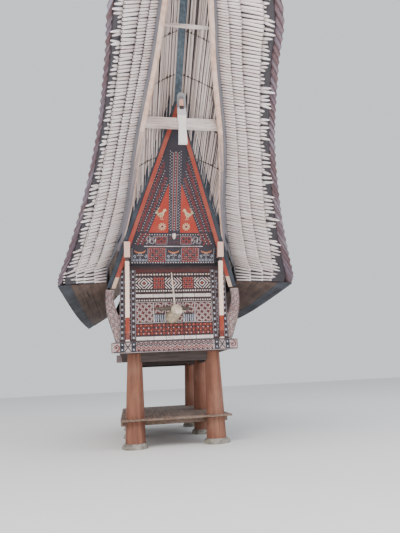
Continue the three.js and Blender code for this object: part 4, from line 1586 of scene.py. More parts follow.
    def ridge_cap(self) -> None:
        """Folded sheet over the ridge, in lengths that overlap."""
        half_profile = [(0.3, 0.0), (0.29, 0.004), (0.12, 0.006), (0.03, 0.002)]
        profile = [(-x, z) for x, z in half_profile] + [(0.0, -0.004)] + half_profile[::-1]
        lengths, lap, thick, lifts = 8, 0.03, 0.004, (-0.009, -0.012)
        joints = np.linspace(-7.86, 7.86, lengths + 1)
        shape = Shape()
        for number in range(lengths):
            rings = []
            for y in np.linspace(joints[number] - lap, joints[number + 1] + lap, 9):
                y = float(np.clip(y, -self.cap_end, self.cap_end))
                width = min(1.0, (self.cap_end + 0.08 - abs(y)) / 0.6)
                lift = lifts[number % 2]
                upper = [(x * width, y, TOP.height(abs(x * width), y) + rise + lift) for x, rise in profile]
                rings.append(np.array(upper + [(x, y, z - thick) for x, y, z in reversed(upper)]))
            shape.rings(rings)
        shape.settle("ridge_cap", SHEET, "bamboo", smooth=40)

    def build(self) -> None:
        """Builds the whole roof and dresses the ridge beam."""
        self.core()
        self.culms()
        self.verge_band()
        self.lining()
        self.lashings()
        self.soffit()
        self.cover()
        dress("ridge_beam", RIDGE_TIMBER)


class End(Enum):
    """The two ends of the house, as half turns from the front."""

    FRONT = 0
    BACK = 1

    @property
    def word(self) -> str:
        """The end's name in the node names."""
        return self.name.lower()


RIGHT, UP = Vector((1, 0, 0)), Vector((0, 0, 1))
WALL = Face(Vector((0, -2.46, 0)), RIGHT, UP)
SILL = Face(Vector((0, -2.56, 0)), RIGHT, UP)
GABLE = Face(Vector((0, -2.58, 4.13)), RIGHT, Vector((0, -math.sin(LEAN), math.cos(LEAN))))
SIDE_WALL = Face(Vector((1.26, 0, 0)), Vector((0, 1, 0)), Vector((0, 0, 1)))
RELIEF = 0.022


@dataclass
class WallBands:
    """The bands of carving that run round the store, from the sill to the wall's top."""

    carver: Carver
    lift: Lift
    strip: Span = (2.353, 2.453)
    flowers: Span = (2.472, 2.738)
    scrolls: Span = (2.759, 3.24)
    squares: Span = (3.288, 3.509)
    stripe: Span = (3.344, 3.444)
    lattice: Span = (3.558, 3.84)
    line: float = 3.862
    beads: float = 3.905
    zigzag: float = 3.998
    flower_pitch: float = 0.117
    flower_rows: int = 3
    dot_shares: Span = (0.14, 0.38, 0.62, 0.86)
    curl_pitch: float = 0.074
    lozenge_step: float = 0.072
    stroke: float = 0.021
    thin: float = 0.009
    arc_height: float = 0.2
    above: float = 0.003

    def raised(self, u: float, v: float) -> float:
        """Height of figures that stand on other figures."""
        return self.lift(u, v) + self.above

    def carve(self, panels: Sequence[Span], piers: Sequence[Span]) -> None:
        """Carves every band on one wall.

        Args:
            panels: left and right of each wide panel.
            piers: left and right of each pier between the panels.
        """
        for span in [*panels, *piers]:
            self.level_bands(span)
            self.flower_band(span)
        for span in panels:
            ground = self.lift(sum(span) / 2, sum(self.scrolls) / 2)
            self.scroll_panel((*span, *self.scrolls), ground)
            self.lozenges(span, ground)
        for span in piers:
            ground = self.lift(sum(span) / 2, sum(self.scrolls) / 2)
            self.pier(span, ground)
            self.pier_lattice(span, ground)

    def level_bands(self, span: Span) -> None:
        """Carves the white strips, squares, beads and zigzag across one panel."""
        left, right = span
        middle = (left + right) / 2
        carver, lift = self.carver, self.lift
        for low, high in (self.strip, self.stripe):
            v = (low + high) / 2
            carver.bar(WHITE, (left, v), (right, v), (high - low) * 0.82, lift(middle, v))
        for v in self.squares:
            carver.row(SQUARE, WHITE, (left, v), (right, v), 0.06, (0.032, 0.034), lift=lift)
        carver.bar(BLACK, (left, self.line), (right, self.line), 0.02, lift(middle, self.line))
        beads = (left, self.beads), (right, self.beads)
        carver.row(SQUARE, WHITE, *beads, 0.068, 0.036, lift=lift)
        carver.row(SQUARE, OCHRE, *beads, 0.136, 0.02, DIAGONAL, lift=self.raised)
        tooth = 0.082
        carver.row(CHEVRON, DEEP_RED, (left, self.zigzag), (right, self.zigzag), tooth, (tooth, 0.09),
                   lift=lift)

    def flower_band(self, span: Span) -> None:
        """Carves rows of red diamonds with white and ochre dots between them."""
        left, right = span
        low, high = self.flowers
        pitch = self.flower_pitch * 0.75
        for number in range(self.flower_rows):
            v = low + (high - low) * (number + 0.5) / self.flower_rows
            size = (pitch * 0.84, (high - low) / self.flower_rows * 0.86)
            self.carver.row(DIAMOND, RED, (left, v), (right, v), pitch, size, lift=self.lift)
        shift = self.flower_pitch / 4
        for number, share in enumerate(self.dot_shares):
            v = low + (high - low) * share
            slide = shift if number % 2 else -shift
            ends = (left + shift + slide, v), (right - shift + slide, v)
            paint = (WHITE, OCHRE)[number % 2]
            self.carver.row(SQUARE, paint, *ends, self.flower_pitch, self.stroke, DIAGONAL,
                            lift=self.raised)

    def scroll_panel(self, box: Span, ground: float) -> None:
        """Fills a box with rows of linked scrolls inside a thin white line."""
        left, right, bottom, top = box
        edge, inset, dot = 0.018, 0.006, 0.018
        inner = (left + edge, right - edge, bottom + edge, top - edge)
        pitch = self.curl_pitch
        self.carver.grid(CURL, WHITE, inner, pitch, pitch * 1.22, DIAGONAL, 90.0, ground)
        self.carver.grid(SQUARE, RED, inner, pitch / 2, dot, DIAGONAL, 0.0, ground)
        self.carver.frame(WHITE, (left + inset, right - inset, bottom, top), self.thin, ground)

    def lozenges(self, span: Span, ground: float) -> None:
        """Fills the lattice band of one panel with slanted white lines that nest round its middle."""
        low, high = self.lattice
        edge, carver = 0.008, self.carver
        middle, centre = (span[0] + span[1]) / 2, (low + high) / 2
        half_width, half_height = (span[1] - span[0]) / 2 - edge, (high - low) / 2 - edge
        for number in range(1, int((half_width + half_height) / self.lozenge_step) + 1):
            reach = number * self.lozenge_step
            across, up = min(reach, half_width), min(reach, half_height)
            for side in HANDS:
                for rise in HANDS:
                    start = (middle + side * across, centre + rise * (reach - across))
                    end = (middle + side * (reach - up), centre + rise * up)
                    carver.bar(WHITE, start, end, self.stroke, ground)
        carver.dot(RED, middle, centre, 2 * self.stroke, ground)
        for side in HANDS:
            carver.dot(RED, middle + side * 0.1, centre + 0.075, 0.03, ground + self.above)
        carver.frame(BLACK, (span[0], span[1], low, high), 0.012, ground)

    def pier_lattice(self, span: Span, ground: float) -> None:
        """Fills the lattice band of one pier with a red lattice and white dots."""
        edge, cell = 0.01, 0.094
        box = (span[0] + edge, span[1] - edge, *self.lattice)
        self.carver.grid(DIAMOND, RED, box, cell, 0.1, 0.0, 0.0, ground)
        self.carver.grid(SQUARE, WHITE, box, cell / 2, 0.016, DIAGONAL, 0.0, ground)

    def pier(self, span: Span, ground: float) -> None:
        """Carves scrolls above and pale upright arcs below on one pier."""
        low, high = self.scrolls
        split = low + self.arc_height
        self.scroll_panel((*span, split, high), ground)
        middle, width = sum(span) / 2, span[1] - span[0]
        for side in HANDS:
            for foot, head in ((0.43, 0.36), (0.28, 0.2), (0.12, 0.05)):
                start, end = middle + side * width * foot, middle + side * width * head
                bend = (start * 0.3 + end * 0.7, low + 0.11)
                self.carver.bar(BLUE, (start, low + 0.015), bend, 0.02, ground)
                self.carver.bar(BLUE, bend, (start * 0.6 + end * 0.4, low + 0.185), 0.018, ground)
        edge = 0.008
        self.carver.frame(WHITE, (span[0] + edge, span[1] - edge, low, split), self.thin, ground)


@dataclass
class EndFront:
    """One carved end: wall, sill, corner boards, gable, rake boards, struts and overhang timbers."""

    end: End
    piers: tuple[Span, ...] = ((-0.49, -0.21), (0.21, 0.49))
    panels: tuple[Span, ...] = ((-0.9, -0.49), (-0.21, 0.21), (0.49, 0.9))
    ladders: tuple[Span, ...] = ((0.9, 1.01), (1.16, 1.26))
    ladder_pitch: float = 0.13
    rails: tuple[Span, ...] = ((2.33, 2.453), (3.344, 3.444), (3.48, 3.53), (3.84, 3.94))
    board_outer: Path = ((1.345, 2.34), (1.4, 2.48), (1.53, 2.87), (1.59, 3.22), (1.59, 3.55))
    board_inner: Path = ((1.262, 2.34), (1.262, 2.9), (1.32, 3.02), (1.4, 3.3), (1.385, 3.55))
    board_pitch: float = 0.078
    sill: Span = (2.1, 2.325)
    sill_half: float = 0.9
    field_height: float = 0.012

    def carver(self, board: str, slot: str, plane: Face) -> Carver:
        """Carver of one board at this end."""
        return Carver(f"{self.end.word}_{board}", slot, plane.turned(self.end.value))

    def turned(self, mesh: Mesh) -> Mesh:
        """Turns a mesh that was made for the front to this end."""
        mesh.transform(Matrix.Rotation(math.pi * self.end.value, 4, "Z"))
        return mesh

    def lift(self, u: float, v: float) -> float:
        """Height of the wall's relief at a place."""
        stiles = (*((low, high) for low, high in self.piers if low > 0), *self.ladders)
        proud = any(low <= abs(u) <= high for low, high in stiles)
        proud = proud or any(low <= v <= high for low, high in self.rails)
        return RELIEF if proud else 0.0

    def carve_wall(self) -> None:
        """Carves the end wall."""
        carver = self.carver("wall", "carved_wood", WALL)
        WallBands(carver, self.lift).carve(self.panels, self.piers)
        for side in HANDS:
            for low, high in self.ladders:
                self.ladder(carver, side * (low + high) / 2, high - low, 2.36, 4.05)
            box = (*sides_of(side, self.ladders[0][1], self.ladders[1][0]), 2.46, 4.0)
            carver.grid(HOOK, BLUE, box, 0.075, 0.07, 90.0, 180.0)
            carver.grid(SQUARE, RED, box, 0.0375, 0.012, DIAGONAL, 0.0)
        carver.finish()
        dress(f"end_wall_{self.end.word}", WALL_GROUND)
        dress(f"gable_tie_beam_{self.end.word}", TIE_TIMBER)

    def ladder(self, carver: Carver, u: float, width: float, low: float, high: float) -> None:
        """Carves a stile with blocks between two thin lines.

        Args:
            carver: gathers the figures.
            u: place across of the stile's middle.
            width: width of the stile.
            low: height of its foot.
            high: height of its top.
        """
        for side in HANDS:
            edge = u + side * width * 0.42
            carver.bar(SPECK, (edge, low), (edge, high), 0.007, RELIEF)
        carver.row(SQUARE, BLUE, (u, low), (u, high), self.ladder_pitch, (0.05, 0.04), 90.0, lift=RELIEF)

    def carve_sill(self) -> None:
        """Carves the sill board: lines, zigzags and dots in its middle, and the marks at its ends."""
        carver, half, thin = self.carver("sill", "pale_carved_wood", SILL), self.sill_half, 0.012
        for v in (2.115, 2.16):
            self.zigzag(carver, DEEP_RED, v, 0.05)
        carver.row(SQUARE, BLACK, (-half, 2.125), (half, 2.125), 0.11, 0.042, DIAGONAL)
        for v in (2.235, 2.272):
            self.zigzag(carver, BLACK, v, 0.038)
        slide = 0.045
        carver.row(SQUARE, RED, (-half - slide, 2.2), (half - slide, 2.2), 2 * slide, 0.026, DIAGONAL)
        carver.row(SQUARE, RED, (-half, 2.275), (half, 2.275), 0.038, 0.02, DIAGONAL)
        for v in (2.105, 2.228, 2.322):
            carver.bar(BLACK, (-1.45, v), (1.45, v), thin)
        for side in HANDS:
            self.sill_marks(carver, side)
        low, high, middle, reach = 2.115, 2.31, 1.34, 0.1
        for side in HANDS:
            carver.frame(BLACK, (side * middle - reach, side * middle + reach, low, high), thin)
            carver.put(HOOK, DEEP_RED, side * middle, 2.21, (0.19 * side, 0.19), 90.0)
            carver.dot(BLACK, side * middle, 2.21, 0.03)
        carver.finish()
        dress(f"sill_board_{self.end.word}", PALE_GROUND)

    def sill_marks(self, carver: Carver, side: int) -> None:
        """Carves the feet of the ladders and the cross between them on one side of the sill."""
        low, high = self.sill
        for inner, outer in self.ladders:
            u = side * (inner + outer) / 2
            carver.bar(BLACK, (u, low), (u, high), outer - inner)
            carver.row(SQUARE, BLUE, (u, low), (u, high), 0.11, (0.036, 0.03), 90.0, lift=0.003)
        left, right = sides_of(side, self.ladders[0][1], self.ladders[1][0])
        for start, end in ((left, right), (right, left)):
            carver.bar(BLACK, (start, 2.11), (end, 2.32), 0.022)

    def zigzag(self, carver: Carver, paint: Paint, low: float, height: float) -> None:
        """Carves one zigzag line along the sill."""
        tooth, half = 0.055, self.sill_half
        points = [(-half + tooth * i, low + height * (i % 2)) for i in range(int(2 * half / tooth) + 1)]
        for start, end in zip(points[:-1], points[1:]):
            carver.bar(paint, start, end, 0.021)

    def carve_corner_boards(self) -> None:
        """Carves the swung corner boards with rows of scrolls that follow their curve."""
        carver = self.carver("corner_board", "pale_carved_wood", WALL)
        shares, pitch, thin = np.linspace(0.0, 1.0, 25), self.board_pitch, 0.012
        outer, inner = (np.array([PlanCurve(c).at(t) for t in shares]) for c in (self.board_outer,
                                                                                 self.board_inner))
        for side, hand in SIDES:
            for number, v in enumerate(np.arange(2.39, 3.53, pitch)):
                right = float(np.interp(v, outer[:, 1], outer[:, 0])) - thin
                left = float(np.interp(v, inner[:, 1], inner[:, 0])) + thin
                count = max(1, round((right - left) / pitch))
                for i in range(count):
                    u = left + (right - left) * (i + 0.5) / count
                    odd = (i + number) % 2
                    angle = DIAGONAL + 90.0 * odd
                    carver.put(CURL, DEEP_RED if odd else BLACK, side * u, float(v), 0.092, angle)
                    carver.dot(RED, side * u, float(v) + pitch / 2, 0.014)
            for path, inset in ((outer, -0.01), (inner, 0.01)):
                for (u0, v0), (u1, v1) in zip(path[:-1], path[1:]):
                    carver.bar(BLACK, (side * (u0 + inset), v0), (side * (u1 + inset), v1), thin)
            dress(f"corner_board_{self.end.word}_{hand}", PALE_GROUND)
        carver.finish()

    def carve_gable(self) -> None:
        """Carves the leaning gable: heads and panels below, red fields with roosters, and slanted bands."""
        carver = self.carver("gable", "carved_wood", GABLE)
        self.gable_heads(carver)
        self.gable_panels(carver)
        self.gable_bands(carver)
        field, fields = self.field_height, Shape()
        for side in HANDS:
            self.rosette(carver, side * 0.28, 0.915)
            carver.put(ROOSTER, CREAM, side * 0.3, 1.2, (0.3 * -side, 0.32), 0.0, field)
            for u, v in ((0.35, 1.17), (0.3, 1.19)):
                carver.dot(BLACK, u * side, v, 0.024, field + 0.005)
            corners = [(side * 0.14, 0.773), (side * 0.59, 0.773), (side * 0.14, 1.9)]
            fields.plate(corners[::side], 0.0, field)
        carver.finish()
        mesh = on_face(fields.mesh("red_fields"), carver.face)
        settle(piece_of(f"{self.end.word}_gable_red_fields", mesh, TRIANGLE_RED), "red_paint")
        dress(f"gable_panel_{self.end.word}", GABLE_GROUND)

    def rosette(self, carver: Carver, u: float, v: float) -> None:
        """Carves one rosette of cream petals round a dark heart."""
        petals, heart, reach, field = 10, 0.03, 0.092, self.field_height
        for number in range(petals):
            turn = TURN * number / petals
            across, up = math.cos(turn), math.sin(turn)
            start = (u + heart * across, v + heart * up)
            carver.bar(CREAM, start, (u + reach * across, v + reach * up), 0.024, field)
        carver.dot(BLACK, u, v, 0.036, field)

    def gable_heads(self, carver: Carver) -> None:
        """Carves the row of buffalo heads and red scroll panels at the gable's foot."""
        low, high = 0.072, 0.4
        carver.row(SQUARE, WHITE, (-1.0, 0.045), (1.0, 0.045), 0.06, 0.024)
        for u in (-0.79, 0.0, 0.785):
            carver.put(HORNS, ORANGE, u, 0.285, (0.28, 0.24))
            carver.put(SHIELD, SPECK, u, 0.25, (0.2, 0.26))
            carver.row(SQUARE, BLUE, (u - 0.17, 0.105), (u + 0.17, 0.105), 0.034, (0.012, 0.06))
            for side in HANDS:
                carver.put(HOOK, BLUE, u + side * 0.13, 0.2, (0.09 * side, 0.09), 90.0)
                edge = u + side * 0.185
                carver.bar(SPECK, (edge, low), (edge, high), 0.009)
        for side in HANDS:
            box, cell = (*sides_of(side, 0.21, 0.588), low, high), 0.088
            carver.grid(CURL, RED, box, cell, 0.112, DIAGONAL)
            carver.grid(SQUARE, WHITE, box, cell / 2, 0.012, DIAGONAL, 0.0)
            carver.frame(RED, box, 0.014)
        for paint, half, v in ((WHITE, 0.72, 0.441), (BLACK, 0.9, 0.47)):
            carver.bar(paint, (-half, v), (half, v), 0.016)

    def gable_panels(self, carver: Carver) -> None:
        """Carves the upper row of panels and the slanted bands at its ends."""
        low, high, foot, head, shift = 0.495, 0.686, 0.48, 0.765, 0.052
        for side in HANDS:
            outer, inner = ((*sides_of(side, *span), low, high) for span in ((0.44, 0.66), (0.16, 0.425)))
            cell = 0.072
            carver.grid(CURL, SPECK, outer, cell, 0.08, DIAGONAL)
            carver.grid(SQUARE, RED, outer, cell, 0.022, DIAGONAL, 0.0)
            carver.put(SQUARE, WHITE, side * 0.56, 0.59, (0.016, 0.09))
            cell = 0.066
            carver.grid(CURL, RED, inner, cell, 0.084, DIAGONAL)
            carver.grid(SQUARE, SPECK, inner, cell, 0.014, DIAGONAL, 0.0)
            carver.frame(SPECK, inner, 0.009)
            carver.put(SQUARE, WHITE, side * 0.433, 0.592, (0.016, 0.07))
            carver.bar(BLACK, (side * 0.72, 0.466), (side * 0.62, head), 0.026)
            for start, end in ((0.745, 0.6), (0.855, 0.71)):
                carver.row(CURL, RED, (side * start, foot), (side * end, head), 0.075, 0.09, 60.0, 90.0)
                dots = (side * (start + shift), foot), (side * (end + shift), head)
                carver.row(SQUARE, WHITE, *dots, 0.06, 0.018, DIAGONAL)
        carver.grid(HOOK, DEEP_RED, (-0.14, 0.14, low, high), 0.085, 0.08)
        carver.row(SQUARE, WHITE, (-0.66, 0.722), (0.66, 0.722), 0.06, 0.02)
        carver.bar(BLACK, (-0.86, 0.755), (0.86, 0.755), 0.02)

    def gable_bands(self, carver: Carver) -> None:
        """Carves the upright band in the middle and the slanted bands beside the red fields."""
        low, high, dot, pitch = 0.8, 2.62, (0.021, 0.019), 0.064
        for side in HANDS:
            for u, shift in ((0.122, pitch / 2), (0.086, 0.0)):
                carver.row(SQUARE, SPECK, (side * u, low + shift), (side * u, high + shift), pitch, dot,
                           90.0)
            for paint, u, width in ((SPECK, 0.052, 0.008), (RED, 0.034, 0.014)):
                carver.bar(paint, (side * u, low), (side * u, high), width)
            self.slanted_bands(carver, side)
        carver.row(DIAMOND, SPECK, (0.0, low), (0.0, high), 0.06, 0.044)

    def slanted_bands(self, carver: Carver, side: int) -> None:
        """Carves the bands of dots and scrolls between one red field and the rake board."""
        rows, foot_level = 9, 0.79
        scroll_rows, block_rows, red_rows = (2, 6), (0, 4, 8), (3, 5)
        for number in range(rows):
            share = number / (rows - 1)
            foot = 0.625 + (0.9 - 0.625) * share
            head = 0.17 + (0.29 - 0.17) * share
            top = 1.9 + 0.62 * share
            ends = (side * foot, foot_level), (side * head, top)
            slope = math.degrees(math.atan2(top - foot_level, side * (head - foot)))
            if number in scroll_rows:
                carver.row(CURL, RED, *ends, 0.074, 0.086, slope, 90.0)
            elif number in block_rows:
                carver.row(SQUARE, SPECK, *ends, 0.064, (0.021, 0.02), slope)
            else:
                carver.row(SQUARE, RED if number in red_rows else SPECK, *ends, 0.07, 0.014, DIAGONAL)

    def edge_boards(self) -> None:
        """Dark boards along the lining where it meets the rake boards, wider towards the top."""
        shape, top, thick = Shape(), 0.04, 0.034
        for side in HANDS:
            rings = []
            for x in np.linspace(0.13, 1.3, 30):
                y, width = self.meeting(x), float(np.interp(x, (0.13, 0.45, 1.0, 1.3),
                                                            (0.46, 0.42, 0.16, 0.05)))
                corners = ((y, top), (y - width, top), (y - width, top - thick), (y, top - thick))
                rings.append(np.array([(side * x, p, UNDER.height(x, abs(p)) - drop) for p,
                                       drop in corners]))
            shape.rings(rings)
        mesh = self.turned(shape.mesh("edge_boards", 40))
        settle(piece_of(f"{self.end.word}_lining_edge_boards", mesh, DARK_PAINT), "dark_paint")

    def meeting(self, x: float) -> float:
        """Place along the ridge where the gable's plane meets the lining, at a distance from the middle."""
        y = GABLE.origin.y
        for _ in range(30):
            y = GABLE.origin.y - GABLE_SLOPE * (float(UNDER.height(x, abs(y))) - GABLE.origin.z)
        return y

    def timbers(self) -> None:
        """Dresses the boards, struts and overhang timbers, and makes those that are drawn again."""
        word = self.end.word
        for side in ("left", "right"):
            dress(f"gable_strut_{word}_{side}", STRUT_PAINT_AND_SHADE)
        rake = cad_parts[f"red_rake_boards_{word}"]
        level = max(abs(v.co.y) * math.cos(LEAN) - v.co.z * math.sin(LEAN) for v in rake.data.vertices)
        dress(rake.name, replace(RED_RAKE_PAINT, face_level=round(level, 4)))
        dress(f"dark_rake_boards_{word}", DARK_PAINT)
        dress(f"overhang_crossbeam_{word}", WEATHERED_ACROSS)
        self.tie_bar()
        dress(f"verge_boards_{word}", VERGE_WOOD)
        self.edge_boards()
        self.hanger()

    def tie_bar(self) -> None:
        """Slim bar between the verge boards high under the tip, hewn thinner towards its ends."""
        low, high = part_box("overhang_tie_bar_front")
        middle, half_depth = (low + high) / 2, (high.y - low.y) * 0.42
        shape, rings = Shape(), []
        for share in np.linspace(0.0, 1.0, 9):
            half = (high.z - low.z) / 2 * float(np.interp(share, (0.0, 0.55, 1.0), (0.3, 0.72, 0.42)))
            x = low.x + (high.x - low.x) * share
            corners = ((-half_depth, -half), (half_depth, -half), (half_depth, half), (-half_depth, half))
            rings.append(np.array([(x, middle.y + y, middle.z + z) for y, z in corners]))
        shape.rings(rings)
        piece = piece_of(f"{self.end.word}_tie_bar", self.turned(shape.mesh("tie_bar")), WEATHERED_ACROSS)
        settle(piece, "weathered_wood", f"overhang_tie_bar_{self.end.word}")

    def hanger(self) -> None:
        """Post that hangs on the crossbeam, with a round head, a shoulder and a slot with its key, and a
        dark block under the key as painted shade in the slot.
        """
        low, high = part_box("hanger_post_front")
        half = (high.x - low.x) / 2
        face = Face(Vector((0, low.y, 0)), WALL.across, WALL.up).turned(self.end.value)
        arc = [(half * math.cos(a), high.z - half + half * math.sin(a)) for a in np.linspace(0.0, math.pi,
                                                                                             13)]
        waist, shoulder = half * 0.84, low.z + 0.38
        slot_half, slot_low, slot_high = 0.044, high.z - 0.38, high.z - half
        foot = [(-half, low.z), (half, low.z), (waist, shoulder), (waist, shoulder + 0.03),
                (half, shoulder + 0.2)]
        back = [(-half, shoulder + 0.2), (-waist, shoulder + 0.03), (-waist, shoulder)]
        recess, front, key_face, play = -0.05, -0.004, -0.02, 0.002
        shape = Shape()
        shape.plate([*foot, *arc, *back], low.y - high.y, recess)
        shape.plate([*foot, (half, slot_low), (-half, slot_low), *back], recess, front)
        shape.plate(arc, recess, front)
        for side in HANDS:
            shape.plate(block(*sides_of(side, slot_half, half), slot_low, slot_high), recess, front)
        post = piece_of(f"{self.end.word}_hanger_post", on_face(shape.mesh("hanger"), face), HANGER_PAINT)
        settle(post, "weathered_wood", f"hanger_post_{self.end.word}")
        joint, width = slot_low + 0.09, slot_half - play
        # the lower block in the slot is dark: painted shade under the key
        for bottom, top, finish in ((slot_low + play, joint, KEY_SHADE),
                                    (joint, slot_high - 0.06, KEY_WOOD)):
            key = Shape()
            key.plate(block(-width, width, bottom, top), recess, key_face)
            piece = piece_of(f"{self.end.word}_{finish.name}", on_face(key.mesh("key"), face), finish)
            settle(piece, "weathered_wood")

    def build(self) -> None:
        """Builds and dresses this end."""
        self.carve_wall()
        self.carve_sill()
        self.carve_corner_boards()
        self.carve_gable()
        self.timbers()


@dataclass
class SideWalls:
    """The two long walls, with the same bands of carving on boards between stiles."""

    half: float = 2.36
    bays: int = 6
    foot: float = 2.12
    top: float = 3.97
    half_stile: float = 0.07

    def build(self) -> None:
        """Carves both long walls."""
        width, stile, half = 2 * self.half / self.bays, self.half_stile, self.half
        panels = [(-half + width * i + stile, -half + width * (i + 1) - stile) for i in range(self.bays)]
        for word, half_turns in (("right", 0), ("left", 1)):
            carver = Carver(f"{word}_wall", "carved_wood", SIDE_WALL.turned(half_turns))
            WallBands(carver, lambda u, v: 0.0, zigzag=3.96).carve(panels, [])
            for i in range(self.bays + 1):
                self.stile(carver, -half + width * i)
            carver.row(CURL, RED, (-half, 2.22), (half, 2.22), 0.13, 0.15, 30.0, 120.0)
            for v in (2.31, 2.135):
                carver.bar(WHITE, (-half, v), (half, v), 0.012)
            carver.finish()
            dress(f"side_wall_{word}", SIDE_GROUND)

    def stile(self, carver: Carver, u: float) -> None:
        """Carves one dark stile with white blocks."""
        above = 0.003
        carver.bar(BLACK, (u, self.foot), (u, self.top), 0.12)
        for pair in (-0.05, 0.05):
            carver.bar(WHITE, (u + pair, self.foot), (u + pair, self.top), 0.008, above)
        carver.row(SQUARE, WHITE, (u, self.foot), (u, self.top), 0.13, (0.06, 0.062), 90.0, lift=above)


@dataclass
class Undercroft:
    """Stones, pillars, sitting platform and the beams under the store."""

    stone_points: int = 28
    pillar_points: int = 48
    pillar_rings: int = 22
    head_share: float = 172.0 / 232.0
    stone_profile: Path = ((0.0, 0.0), (0.97, 0.0), (1.0, 0.3), (0.97, 0.62), (0.84, 0.97), (0.4, 1.0),
                           (0.0, 1.0))

    def stone(self, node: str, seed: int) -> None:
        """Rough flat stone under one pillar."""
        low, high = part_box(node)
        reach, rings = (high.x - low.x) / 2, []
        for share, height in self.stone_profile:
            radii = []
            for c, s in circle(self.stone_points):
                rough = noise.noise(Vector((c * 1.3, s * 1.3, seed * 3.7 + height)))
                radii.append(max(share, 0.001) * reach * min(0.9 + 0.1 * rough, 1.0))
            rings.append(level_ring((low + high) / 2, radii, low.z + (high.z - low.z) * height))
        shape = Shape()
        shape.rings(rings)
        name = f"field_stone{node.removeprefix('foundation_stone')}"
        shape.settle(name, FIELD_STONE, "foundation_stone", node, smooth=50)

    def pillar(self, node: str, seed: int) -> None:
        """Hewn round pillar with flats and shallow drying cracks."""
        low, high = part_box(node)
        foot = (high.x - low.x) / 2
        head, rings = foot * self.head_share, []
        for k in range(self.pillar_rings):
            height = k / (self.pillar_rings - 1)
            radii = []
            for i, (c, s) in enumerate(circle(self.pillar_points)):
                turn = TURN * i / self.pillar_points
                flats = noise.noise(Vector((c * 2.2, s * 2.2, seed * 5.1 + height * 0.5)))
                crack = max(0.0, noise.noise(Vector((turn * 6.0, seed * 2.3, height * 0.7))) - 0.42) * 0.03
                radii.append((foot + (head - foot) * height) * (0.992 + 0.008 * flats) - crack)
            rings.append(level_ring((low + high) / 2, radii, low.z + (high.z - low.z) * height))
        shape = Shape()
        shape.rings(rings)
        shape.settle(f"round_{node}", PILLAR_WOOD, "pillar_wood", node, smooth=35)

    def build(self) -> None:
        """Builds every support and dresses the beams."""
        rows = ("front", "middle", "back")
        for seed, name in enumerate(f"{row}_{side}" for row in rows for side in ("left", "right")):
            self.stone(f"foundation_stone_{name}", seed)
            self.pillar(f"pillar_{name}", seed)
        for row in rows:
            dress(f"head_beam_{row}", CROSS_TIMBER)
        for node in ("floor_beam_left", "floor_beam_right", "store_floor"):
            dress(node, DARK_TIMBER)
        dress("sitting_platform", PLANK_WOOD)


